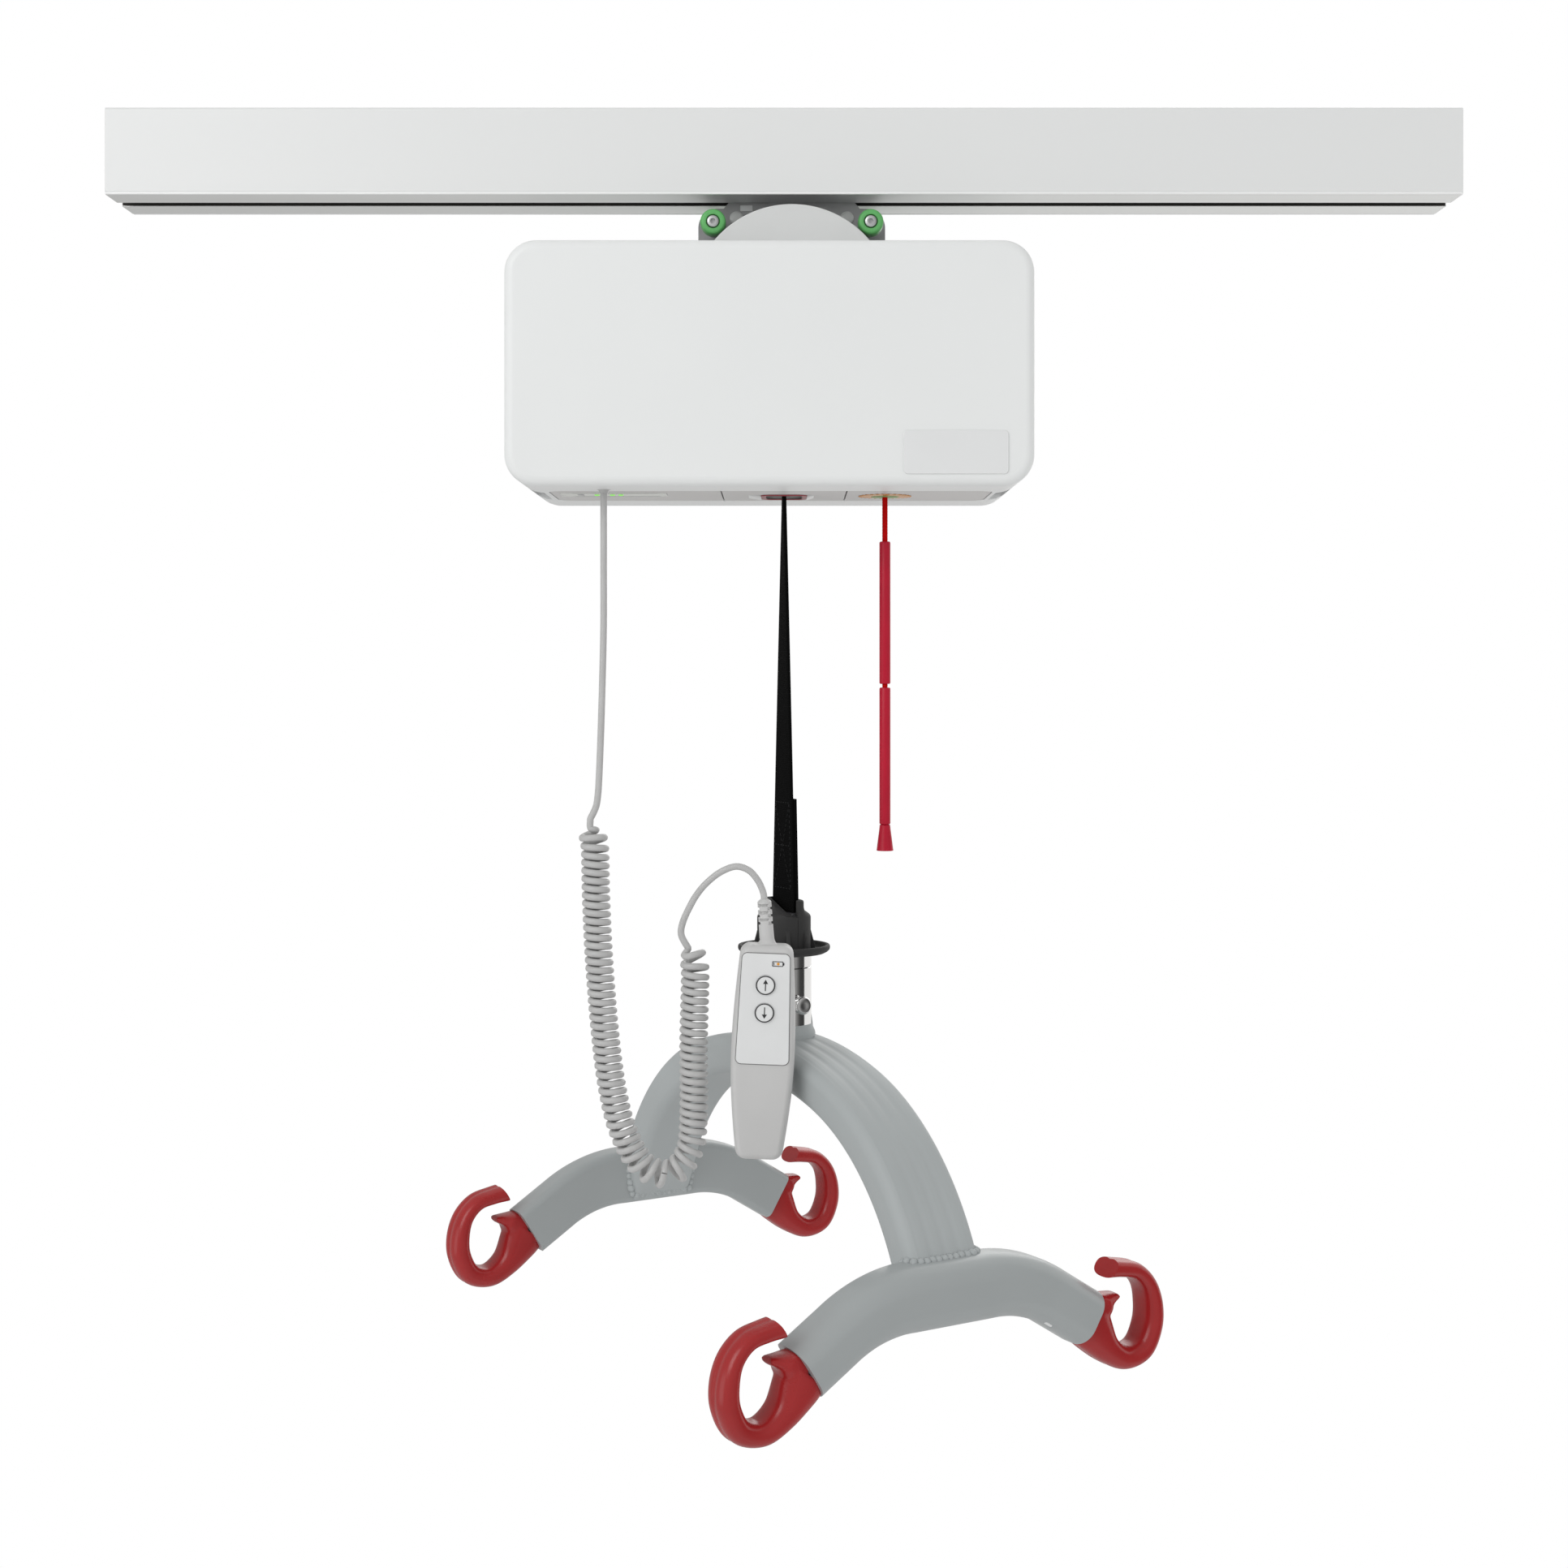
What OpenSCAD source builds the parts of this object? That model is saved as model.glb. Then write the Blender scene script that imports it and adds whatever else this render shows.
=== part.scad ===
// Ceiling track hoist: rail, trolley, motor housing, strap, coupling, sling bar, handset and cords
// Millimetres, X along the rail, Y away from the viewer, Z up, origin on the rail's top face

/* [Rail] */
// Length of the rail
rail_len = 966; // [900:1:1200]
// Height of the rail section
rail_h = 62; // [60:1:68]
// Width of the rail section
rail_w = 70; // [68:1:80]
// Thickness of the rail side walls
rail_wall = 4; // [3:0.5:5]
// Thickness of the rail top web
rail_top_t = 5; // [4:0.5:7]
// Thickness of the two running lips
lip_t = 6; // [5:0.5:7]
// Width of the slot between the lips
slot_w = 12; // [11:0.5:14]
// Outer corner radius of the rail section
rail_r = 2.5; // [1:0.5:4]
// Distance between the two ceiling bolts
bolt_span = 800; // [600:10:840]
// Diameter of the ceiling bolt holes
bolt_d = 9; // [6:0.5:11]
// Length of each end stop
stop_len = 20; // [14:1:30]
// Height of each end stop
stop_h = 36; // [25:1:44]

/* [Trolley] */
// Place of the trolley centre along the rail, counted from the strap
trolley_x = 5.6; // [0:0.2:10]
// Distance between the two wheel axles
wheel_base = 60; // [50:1:64]
// Radius of the running wheels
wheel_r = 19.7; // [17:0.1:20.5]
// Width of one running wheel
wheel_w = 17; // [12:0.5:20]
// Radius of the wheel axles
axle_r = 5; // [4:0.25:6]
// Thickness of the chassis plate in the rail slot
neck_t = 9; // [7:0.5:10]
// Width of the chassis where it passes the slot
neck_w = 82; // [76:1:90]
// Width of the chassis bracket under the rail
bracket_w = 135.4; // [130:0.2:144]
// Radius of the round dome plates
dome_r = 72; // [68:0.5:76]
// Thickness of a dome plate
dome_t = 6; // [3:0.5:7]
// Distance of a dome plate's outer face from the rail centre
dome_y = 40; // [38:0.5:43]
// Radius of the green guide rollers
roller_r = 9.1; // [8:0.1:10]
// Width of a guide roller
roller_w = 12; // [9:0.5:14]
// Distance between the two guide rollers of one side
roller_base = 112.4; // [108:0.2:118]
// Drop of the roller centres below the rail
roller_drop = 19; // [16:0.5:24]

/* [Housing] */
// Gap between the rail and the top of the housing
housing_gap = 43.5; // [40:0.5:50]
// Place of the housing centre along the rail
housing_x = -10; // [-14:0.5:-6]
// Width of the housing
housing_w = 364; // [356:1:380]
// Height of the housing
housing_h = 169; // [166:1:180]
// Depth of the housing in front of the strap
housing_front = 95; // [92:0.5:102]
// Depth of the housing behind the strap
housing_rear = 92; // [88:0.5:102]
// Corner radius of the housing seen from the front
housing_r = 22; // [16:0.5:28]
// Rounding of the front and rear edges
edge_r = 7; // [4:0.5:10]
// Wall thickness of the covers and the tray
wall = 3; // [2:0.25:4]
// Left end of the bottom tray
tray_left = -166; // [-168:0.5:-160]
// Right end of the bottom tray
tray_right = 147; // [145:0.5:149]
// Front edge of the bottom tray
tray_front = -50; // [-54:0.5:-48]
// Rear edge of the bottom tray
tray_rear = 35; // [33:0.5:40]
// Width of the bare badge plate
badge_w = 72; // [60:1:76]
// Height of the bare badge plate
badge_h = 30; // [20:1:34]

/* [Winch] */
// Width of the lifting strap
strap_w = 29; // [25:0.5:30]
// Thickness of the lifting strap
strap_t = 2.6; // [2:0.1:3]
// Outer radius of the wound strap
wrap_r = 44.7; // [40:0.1:46]
// Radius of the drum core
drum_core_r = 22; // [16:0.5:28]
// Height of the drum axis above the housing floor
drum_rise = 89.5; // [86:0.5:93]
// Radius of the drum journals
journal_r = 8; // [6:0.25:10]
// Teeth of the motor pinion
pinion_teeth = 20; // [18:1:20]
// Teeth of the drum gear
gear_teeth = 60; // [58:1:60]
// Width of the gear teeth
gear_w = 10; // [6:0.5:12]
// Radius of the motor
motor_r = 26; // [20:0.5:28]

/* [Coupling] */
// Height at which the strap enters the coupling
coupling_top = -566.5; // [-568:0.5:-560]
// Radius of the coupling body
coupling_r = 19.5; // [18:0.5:21]
// Radius of the dish that the handset hangs on
disc_r = 33.5; // [32:0.5:36]
// Height of the underside of the dish
disc_bottom = -606; // [-608:0.5:-604]
// Radius of the polished stem
stem_r = 19.8; // [18:0.1:20.5]
// Height of the seam round the stem
stem_seam = -615.4; // [-620:0.2:-612]
// Radius of the spindle in the coupling
spindle_r = 8; // [6:0.25:9]
// Height of the release knob
knob_z = -641; // [-645:0.5:-638]
// Radius of the release knob
knob_r = 6.4; // [5:0.1:8]
// Travel of the release knob
knob_travel = 5; // [3:0.5:6]

/* [Sling bar] */
// Turn of the sling bar about the strap
sling_yaw = -58.6; // [-62:0.2:-57]
// Height of the top of the arch
arch_top = -665; // [-668:0.5:-662]
// Width of the arch section
arch_w = 55.5; // [53:0.5:56]
// Thickness of the arch section
arch_t = 29.5; // [27:0.5:32]
// Outer radius of the upper part of the arch
arch_r1 = 283; // [270:1:296]
// Angle that the upper part of the arch turns
arch_a1 = 18.5; // [16:0.5:21]
// Outer radius of the lower part of the arch
arch_r2 = 190; // [186:0.5:194]
// Angle at which the arch ends
arch_a2 = 65.5; // [64:0.5:67]
// Distance of each cross-bar from the strap
bar_reach = 205; // [203:0.5:208]
// Height of the middle of the cross-bars
bar_z = -803; // [-806:0.5:-800]
// Height of the cross-bar section
bar_h = 42.5; // [40:0.5:46]
// Depth of the cross-bar section
bar_d = 31; // [29:0.5:34]
// Corner radius of the flat inner side of a cross-bar
bar_inner_r = 6; // [4:0.5:8]
// Corner radius of the round outer side of a cross-bar
bar_outer_r = 15; // [12:0.5:16]
// Half length of the level middle of a cross-bar
bar_flat = 30; // [29.5:0.5:34]
// Bend radius of a cross-bar
bar_bend_r = 100; // [92:1:108]
// Bend angle of a cross-bar
bar_bend = 32; // [30:0.5:34]
// Length of the straight end of a cross-bar
bar_straight = 34; // [30:0.5:38]
// Depth of a hook
hook_d = 25; // [20:0.5:28]

/* [Handset] */
// Length of the handset
handset_l = 148; // [140:1:156]
// Greatest width of the handset
handset_w = 45.5; // [42:0.5:47]
// Width of the handset at its top
handset_top_w = 37.5; // [35:0.5:40]
// Width of the handset at its bottom
handset_bottom_w = 34; // [30:0.5:38]
// Thickness of the handset
handset_t = 24; // [20:0.5:26]
// Lean of the handset seen from the front
handset_lean = 2.3; // [0:0.1:3]
// Radius of the two round buttons
button_r = 6.6; // [5.5:0.1:7.4]
// Travel of the buttons
button_travel = 0.8; // [0.4:0.1:1]

/* [Cords] */
// Diameter of the hand cord
cord_d = 4.7; // [4:0.1:4.8]
// Radius of the curls at the middle of the cord
curl_r = 7.75; // [7:0.05:8.5]
// Distance from curl to curl on a straight stretch
curl_pitch = 5.6; // [5.5:0.05:6.4]
// Place of the pull cord along the rail
pull_x = 73; // [72:0.5:76]
// Place of the pull cord across the rail
pull_y = -8; // [-10:0.5:-4]
// Diameter of the pull rope
rope_d = 4; // [3:0.1:4.4]
// Diameter of the grip tubes
grip_d = 8; // [7:0.1:9]
// Length of each grip tube
grip_l = 103; // [92:1:106]

/* [Clearances] */
// Radial clearance of a running shaft
run_fit = 0.05; // [0.03:0.01:0.08]
// Gap between pieces that move past each other
gap = 0.3; // [0.3:0.05:0.4]

/* [Hidden] */
$fn = 64;

// Rail and trolley
rail_bottom = -rail_h;
lip_top = rail_bottom + lip_t;
cavity_w = rail_w - 2*rail_wall;
cavity_h = rail_h - lip_t - rail_top_t;
stop_w = cavity_w - 10;
stop_screw_r = 2.5;
stop_screw_z = lip_top + stop_h/2;
wheel_z = lip_top + gap + wheel_r;
wheel_in = slot_w/2 + 2;
wheel_out = wheel_in + wheel_w;
wheel_x = [trolley_x - wheel_base/2, trolley_x + wheel_base/2];
neck_top = wheel_z + axle_r + 9;
bracket_top = rail_bottom - 4;
housing_top = rail_bottom - housing_gap;
housing_bottom = housing_top - housing_h;
housing_z = (housing_top + housing_bottom)/2;
bracket_bottom = housing_top - 22.5;
hanger_dx = 40;
hanger_r = 4;
hanger_z = housing_top - 10;
sleeve_r = 7;
dome_z = housing_top - 36.5;
dome_cut = hanger_z - 6;
roller_z = rail_bottom - roller_drop;
roller_dx = [-roller_base/2, roller_base/2];
roller_in = dome_y - dome_t - roller_w;
roller_screw_r = 3;
roller_head_r = 4.3;
roller_head_t = 3.5;
roller_head_proud = 0.8;

// Housing
floor_top = housing_bottom + wall;
split_y = 0;
top_open_w = 2*dome_r + 12;
top_open_y = dome_y + 4;
tray_mid = [-44.5, 44.5];
tray_joint = 0.8;
tray_r = 12;
window_size = [76, 30];
window_at = [-122, -21];
window_t = 1;
led_at = [-134, -123, -117];
led_r = 2;
ring_w = 34;
ring_l = strap_w + 11;
ring_wall = 4;
ring_proud = 2.5;
rosette_r = 19;
rosette_t = 2.5;
badge_at = [117.6, housing_bottom + 23];
badge_t = 1;
notch_w = 14;
gland_r = 5;
gland_at = [-126, -62];
cover_screw_r = 1.9;
cover_screw_at = [[-150, 55], [130, 55], [-150, -55], [130, -55]];
cover_screw_head = 4;

// Winch
gear_module = 2;
drum_x = -(wrap_r + gap + strap_t/2);
drum_z = housing_bottom + drum_rise;
flange_in = strap_w/2 + 1.5;
flange_t = 2.5;
flange_out = flange_in + flange_t;
flange_r = wrap_r + 4.5;
frame_in = flange_out + 3.5;
frame_t = 5;
frame_out = frame_in + frame_t;
bearing_r = 16;
gear_y = frame_out + 3;
gear_dist = gear_module*(pinion_teeth + gear_teeth)/2;
motor_x = drum_x - gear_dist;
motor_shaft_r = 5;
backlash = 0.4;
journal_end = gear_y + gear_w + 1;

// Strap, coupling and stem
strap_top = drum_z;
strap_twist = 90 + sling_yaw;
tail_top = coupling_top + 73;
pin_z = coupling_top - 13;
pin_r = 4;
pin_l = 34;
strap_end = pin_z + pin_r + gap;
dish_floor = disc_bottom + 2.5;
dish_rim = disc_bottom + 6.5;
rim_w = 3;
bearing_top = dish_floor + 6;
head_top = bearing_top + gap + 5;
head_r = 12;
coupling_cavity_r = head_r + 1;
collar_top = arch_top + 9;
collar_r = stem_r + 3;
knob_face = stem_r + 9.2;
knob_pin_r = 4;
knob_pin_held = 10.8;
knob_pin_in = stem_r - knob_travel - knob_pin_held;

// Sling bar
flute_r = 7;
flute_depth = 1;
flute_pitch = 10.6;
flute_half = sqrt(flute_r*flute_r - pow(flute_r - flute_depth, 2));
arch_edge_r = 9;
arch_c1 = arch_top - arch_r1;
arch_c2 = [(arch_r1 - arch_r2)*sin(arch_a1), arch_c1 + (arch_r1 - arch_r2)*cos(arch_a1)];
arch_foot = arch_c2 + (arch_r2 - arch_t/2)*[sin(arch_a2), cos(arch_a2)];
arch_tail = 32;
bar_bend_end = [bar_flat + bar_bend_r*sin(bar_bend), bar_z - bar_bend_r*(1 - cos(bar_bend))];
bar_end = bar_bend_end + bar_straight*[cos(bar_bend), -sin(bar_bend)];
// Share by which a cross-bar gets lower from its middle to its straight ends
bar_taper = 0.1;
spigot_r = 8;
spigot_l = 18;
// Middle line of a hook counted from the cross-bar's end, with its half thickness
hook_line = [[0, 0, 18.5], [6, -10, 15.5], [17, -23.5, 10], [31.5, -31.5, 8], [47, -27.5, 8],
    [55, -13, 7.8], [55.8, 1.8, 7.2], [51.5, 16, 6.3], [41.5, 26, 5.9], [28, 29.5, 6], [14, 31.3, 6.2],
    [8, 32, 3.5]];
beak_line = [[2, 2, 13], [11, 6, 10.5], [18, 9.5, 5], [26, 11.5, 2]];

// Handset
handset_y = -87;
handset_back = handset_y + handset_t;
handset_split = handset_y + handset_t/2;
handset_at = [-11.6, -590];
overlay_w = 34;
overlay_l = 76;
overlay_t = 0.8;
overlay_drop = 5.5;
button_drop = [27, 46];
button_proud = 1.4;
relief_l = 31;
relief_bend = -6.3;
relief_flange = 2.5;
relief_r = 5.6;
hook_w = 8;

// Hand cord, in mm, from the housing to the handset
lead_points = [[-126, -62, -272.5], [-126, -62, -284], [-126, -62, -300], [-126, -62, -330],
    [-126, -62.5, -370], [-126.8, -63.5, -410], [-127.9, -65, -450], [-129, -66, -478],
    [-129.7, -66, -488], [-130.8, -66, -495], [-132.9, -66, -500.2], [-134.6, -66, -503.4],
    [-135, -66, -504.8], [-135, -66, -505.4]];
curl_points = [[-135, -66, -506], [-135, -66, -510], [-132.9, -66, -517], [-131.6, -66, -527],
    [-131, -66, -556], [-129, -66, -600], [-125, -66, -650], [-120, -66, -690], [-112, -66, -722],
    [-98, -66, -746], [-79, -66, -751], [-66, -66, -736], [-63, -66, -710], [-63, -66, -660],
    [-62, -66, -620], [-62.2, -66, -606], [-65, -66.5, -597.5], [-69.2, -67, -590]];
tail_points = [[-69.3, -67.02, -589.8], [-71, -67.3, -586.5], [-71.7, -67.7, -583], [-71.2, -68.3, -579],
    [-69.4, -69.3, -573.3], [-66, -70.5, -566], [-61.3, -72, -557.5], [-54.5, -73.5, -549],
    [-44.5, -74.5, -540.8], [-33.5, -75, -536.6], [-24.5, -75, -539.2], [-18.7, -75, -545.4],
    [-15.5, -75, -551.5], [-14.05, -75, -556], [-13.77, -75, -559], [-13.52, -75, -562.5]];
curl_taper = 5;

// Pull cord
rope_top = floor_top + 20;
grip_top = -307.5;
grip_gap = 2.5;
bell_l = 15;

// General functions
function unit(v) = v/norm(v);
function spline_at(a, b, c, d, t) =
    ((2*b) + (c - a)*t + (2*a - 5*b + 4*c - d)*t*t + (3*b - a - 3*c + d)*t*t*t)/2;
function spline(pts, n) = let (k = len(pts))
    [for (i = [0:k - 2], j = [0:n - 1])
        spline_at(pts[max(i - 1, 0)], pts[i], pts[i + 1], pts[min(i + 2, k - 1)], j/n), pts[k - 1]];
function tangent(p, i) = unit(p[min(i + 1, len(p) - 1)] - p[max(i - 1, 0)]);
function across(v, t) = unit(v - (v*t)*t);
function ring(p, t, u, r, n) = let (a = across(u, t), b = cross(t, a))
    [for (k = [0:n - 1]) p + r*(cos(360*k/n)*a + sin(360*k/n)*b)];
function sweep_faces(m, n) = concat(
    [for (i = [0:m - 2], j = [0:n - 1]) let (a = i*n + j, b = i*n + (j + 1)%n) each
        [[a, a + n, b + n], [a, b + n, b]]],
    [for (j = [1:n - 2]) [0, j, j + 1]],
    [for (j = [1:n - 2]) let (o = (m - 1)*n) [o, o + j + 1, o + j]]);
function round_points(w, h, r, n) =
    [for (c = [0:3], k = [0:n]) let (a = 90*c + 90*k/n)
        [(c == 0 || c == 3 ? 1 : -1)*(w/2 - r) + r*cos(a), (c < 2 ? 1 : -1)*(h/2 - r) + r*sin(a)]];
function corner_arc(c, r, from, n) = [for (k = [0:n]) c + r*[cos(from + 90*k/n), sin(from + 90*k/n)]];
function flat_points(list) = [for (a = list) each a];

// Curly stretch: rings at even turns, with wider steps where the middle line bends
curl_mid = spline(curl_points, 12);
curl_run = [for (i = 0, s = 0; i < len(curl_mid);
    i = i + 1, s = s + (i < len(curl_mid) ? norm(curl_mid[i] - curl_mid[i - 1]) : 0)) s];
curl_len = curl_run[len(curl_run) - 1];
function mid_at(s) = [for (k = [0:2])
    lookup(s, [for (i = [0:len(curl_mid) - 1]) [curl_run[i], curl_mid[i][k]]])];
function mid_dir(s) = unit(mid_at(min(s + 2, curl_len)) - mid_at(max(s - 2, 0)));
function mid_turn(s) = norm(mid_dir(min(s + 4, curl_len)) - mid_dir(max(s - 4, 0)))/8;
function curl_step(s) = curl_pitch/8/max(1 - 1.12*curl_r*mid_turn(s), 0.45);
function curl_size(s) = let (e = min(s, curl_len - s) - cord_d, t = min(max(e/curl_taper, 0), 1))
    curl_r*t*t*(3 - 2*t);
curl_s = [for (s = 0; s < curl_len; s = s + (s < cord_d || s > curl_len - cord_d - curl_taper
    ? cord_d/3 : curl_step(s))) s];
curl_from = 150;
curl_out = [for (i = [0:len(curl_s) - 1])
    let (d = mid_dir(curl_s[i]), m = cross(d, [0, 1, 0]), a = curl_from + 45*i)
    cos(a)*m + sin(a)*[0, 1, 0]];
curl_path = [for (i = [0:len(curl_s) - 1]) mid_at(curl_s[i]) + curl_size(curl_s[i])*curl_out[i]];
curl_gap = min([for (i = [0:len(curl_path) - 1], j = [i + 5:1:min(i + 12, len(curl_path) - 1)])
    norm(curl_path[i] - curl_path[j])]) - cord_d;
echo(curls = len(curl_s)/8, least_gap = curl_gap, rings = len(curl_s));

// Shared shapes
module slab_x(x0, x1) translate([x0, 0, 0]) rotate([90, 0, 90]) linear_extrude(x1 - x0) children();
module slab_y(y0, y1) translate([0, y1, 0]) rotate([90, 0, 0]) linear_extrude(y1 - y0) children();
module slab_z(z0, z1) translate([0, 0, z0]) linear_extrude(z1 - z0) children();
module rod_y(x, z, y0, y1, r) translate([x, y0, z]) rotate([-90, 0, 0]) cylinder(h = y1 - y0, r = r);
module rod_z(x, y, z0, z1, r) translate([x, y, z0]) cylinder(h = z1 - z0, r = r);
module turned() rotate([0, 0, sling_yaw]) children();
module both_ways(v) { children(); mirror(v) children(); }
module round_rect(w, h, r) {
    square([w - 2*r, h], center = true);
    square([w, h - 2*r], center = true);
    for (x = [-1, 1], y = [-1, 1]) translate([x*(w/2 - r), y*(h/2 - r)]) circle(r);
}
module sweep(rings) polyhedron(flat_points(rings), sweep_faces(len(rings), len(rings[0])));
module tube(pts, n, r, sides) {
    path = spline(pts, n);
    sweep([for (i = [0:len(path) - 1]) ring(path[i], tangent(path, i), [0, 1, 0], r, sides)]);
}
function involute(a) = tan(a)*180/PI - a;
function tooth_half(r, z) = let (p = gear_module*z/2)
    90/z - backlash/4/p*180/PI + involute(20) - involute(acos(min(p*cos(20)/r, 1)));
module gear_outline(z) {
    p = gear_module*z/2;
    root = p - 1.25*gear_module;
    low = max(root, p*cos(20));
    flank = [for (k = [0:3]) low + (p + gear_module - low)*k/3];
    polygon([for (i = [0:z - 1]) each concat(
        [root*[cos(360*i/z - tooth_half(low, z)), sin(360*i/z - tooth_half(low, z))]],
        [for (r = flank) r*[cos(360*i/z - tooth_half(r, z)), sin(360*i/z - tooth_half(r, z))]],
        [for (k = [3:-1:0]) let (r = flank[k])
            r*[cos(360*i/z + tooth_half(r, z)), sin(360*i/z + tooth_half(r, z))]],
        [root*[cos(360*i/z + tooth_half(low, z)), sin(360*i/z + tooth_half(low, z))]])]);
}

// Rail
module rail_profile() color("gainsboro") difference() {
    slab_x(-rail_len/2, rail_len/2) difference() {
        translate([0, -rail_h/2]) round_rect(rail_w, rail_h, rail_r);
        translate([0, -rail_top_t - cavity_h/2]) round_rect(cavity_w, cavity_h, 2);
        translate([-slot_w/2, rail_bottom - 1]) square([slot_w, lip_t + 2]);
    }
    for (s = [-1, 1]) rod_z(s*bolt_span/2, 0, -rail_top_t - 1, 1, bolt_d/2);
    for (s = [-1, 1]) rod_y(s*(rail_len - stop_len)/2, stop_screw_z, 0, rail_w, stop_screw_r);
}

module end_stops() color("dimgray") for (s = [0, 1]) mirror([s, 0, 0]) difference() {
    slab_x(rail_len/2 - stop_len, rail_len/2)
        translate([0, lip_top + stop_h/2]) round_rect(stop_w, stop_h, 4);
    rod_y((rail_len - stop_len)/2, stop_screw_z, 0, rail_w, stop_screw_r);
}

module end_stop_screws() color("silver") for (s = [-1, 1]) {
    rod_y(s*(rail_len - stop_len)/2, stop_screw_z, 4, rail_w/2, stop_screw_r);
    rod_y(s*(rail_len - stop_len)/2, stop_screw_z, rail_w/2, rail_w/2 + 3, 2*stop_screw_r);
}

// Trolley
module trolley_chassis() color("gray") translate([trolley_x, 0, 0]) difference() {
    union() {
        slab_y(-neck_t/2, neck_t/2) {
            translate([0, (neck_top + bracket_top)/2]) round_rect(neck_w, neck_top - bracket_top + 12, 12);
            polygon([[-neck_w/2, lip_top], [neck_w/2, lip_top],
                [neck_w/2 + 15, bracket_top - 8], [-neck_w/2 - 15, bracket_top - 8]]);
            translate([0, (bracket_top + bracket_bottom)/2])
                round_rect(bracket_w, bracket_top - bracket_bottom, 14);
        }
        for (x = roller_dx) rod_y(x, roller_z, -roller_in + gap, roller_in - gap, 6);
    }
    for (s = [-1, 1]) rod_y(s*wheel_base/2, wheel_z, -neck_t, neck_t, axle_r + run_fit);
    for (s = [-1, 1]) rod_y(s*hanger_dx, hanger_z, -neck_t, neck_t, hanger_r);
    for (x = roller_dx) rod_y(x, roller_z, -roller_in, roller_in, roller_screw_r);
}

module dome_plates() color("lightgray") both_ways([0, 1, 0]) difference() {
    slab_y(-dome_y, -dome_y + dome_t) intersection() {
        translate([trolley_x, dome_z]) circle(dome_r, $fn = 128);
        translate([trolley_x - dome_r, dome_cut]) square([2*dome_r, dome_r]);
        translate([trolley_x, dome_cut]) square([top_open_w - 12, 4*dome_r], center = true);
    }
    for (s = [-1, 1]) rod_y(trolley_x + s*hanger_dx, hanger_z, -dome_y - 1, 0, hanger_r);
}

module hanger_bolts() color("silver") for (s = [-1, 1])
    translate([trolley_x + s*hanger_dx, 0, hanger_z]) {
    rod_y(0, 0, -dome_y, dome_y, hanger_r);
    both_ways([0, 1, 0]) {
        rod_y(0, 0, dome_y, dome_y + 3.5, 6);
        difference() {
            rod_y(0, 0, neck_t/2, frame_in, sleeve_r);
            rod_y(0, 0, 0, frame_in + 1, hanger_r + run_fit);
        }
        difference() {
            rod_y(0, 0, frame_out, dome_y - dome_t, sleeve_r);
            rod_y(0, 0, 0, dome_y, hanger_r + run_fit);
        }
    }
}

module roller_screws() color("silver") for (x = roller_dx, s = [0, 1])
    translate([trolley_x + x, 0, roller_z]) mirror([0, s, 0]) difference() {
        union() {
            rod_y(0, 0, -roller_in - roller_w, -gap, roller_screw_r);
            rod_y(0, 0, -roller_in - roller_w - roller_head_proud,
                -roller_in - roller_w + roller_head_t - roller_head_proud, roller_head_r);
        }
        translate([0, -roller_in - roller_w - 1, 0]) rotate([-90, 0, 0])
            cylinder(h = 2.2, r = 2.2, $fn = 6);
    }

module guide_roller(side, x) color("mediumseagreen") translate([trolley_x + x, 0, roller_z])
    mirror([0, side > 0 ? 1 : 0, 0]) translate([0, -roller_in, 0]) rotate([90, 0, 0]) difference() {
        union() {
            cylinder(h = roller_w - 1.5, r = roller_r);
            translate([0, 0, roller_w - 1.5]) cylinder(h = 1.5, r1 = roller_r, r2 = roller_r - 1);
        }
        translate([0, 0, -1]) cylinder(h = roller_w + 2, r = roller_screw_r + run_fit);
        translate([0, 0, roller_w - roller_head_t + roller_head_proud - gap])
            cylinder(h = roller_head_t, r = roller_head_r + 0.7);
    }
module roller_front_left() guide_roller(-1, roller_dx[0]);
module roller_front_right() guide_roller(-1, roller_dx[1]);
module roller_rear_left() guide_roller(1, roller_dx[0]);
module roller_rear_right() guide_roller(1, roller_dx[1]);

module axle(x) color("silver") rod_y(x, wheel_z, -wheel_out - 2, wheel_out + 2, axle_r);
module wheel_pair(x) color("whitesmoke") translate([x, 0, wheel_z]) both_ways([0, 1, 0])
    translate([0, wheel_in, 0]) rotate([-90, 0, 0]) rotate_extrude() difference() {
        polygon([[axle_r, 0], [wheel_r - 1, 0], [wheel_r, 1], [wheel_r, wheel_w - 1],
            [wheel_r - 1, wheel_w], [axle_r, wheel_w]]);
        translate([axle_r + 4, wheel_w - 3]) square([wheel_r - axle_r - 9, 4]);
    }
module axle_left() axle(wheel_x[0]);
module axle_right() axle(wheel_x[1]);
module wheels_left() wheel_pair(wheel_x[0]);
module wheels_right() wheel_pair(wheel_x[1]);

// Housing
module housing_form(inset) {
    depth = housing_front + housing_rear - 2*inset;
    w = housing_w - 2*inset;
    h = housing_h - 2*inset;
    r = max(edge_r - inset, 1.5);
    mid_y = (housing_rear - housing_front)/2;
    intersection() {
        slab_y(-housing_front - 1, housing_rear + 1)
            translate([housing_x, housing_z]) round_rect(w, h, housing_r - inset);
        slab_x(housing_x - housing_w, housing_x + housing_w)
            translate([mid_y, housing_z]) polygon(round_points(depth, h, r, 4));
        slab_z(housing_bottom - 1, housing_top + 1)
            translate([housing_x, mid_y]) polygon(round_points(w, depth, r, 4));
    }
}
module tray_area(room) translate([(tray_left + tray_right)/2, (tray_front + tray_rear)/2])
    round_rect(tray_right - tray_left + 2*room, tray_rear - tray_front + 2*room, tray_r + room);
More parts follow.
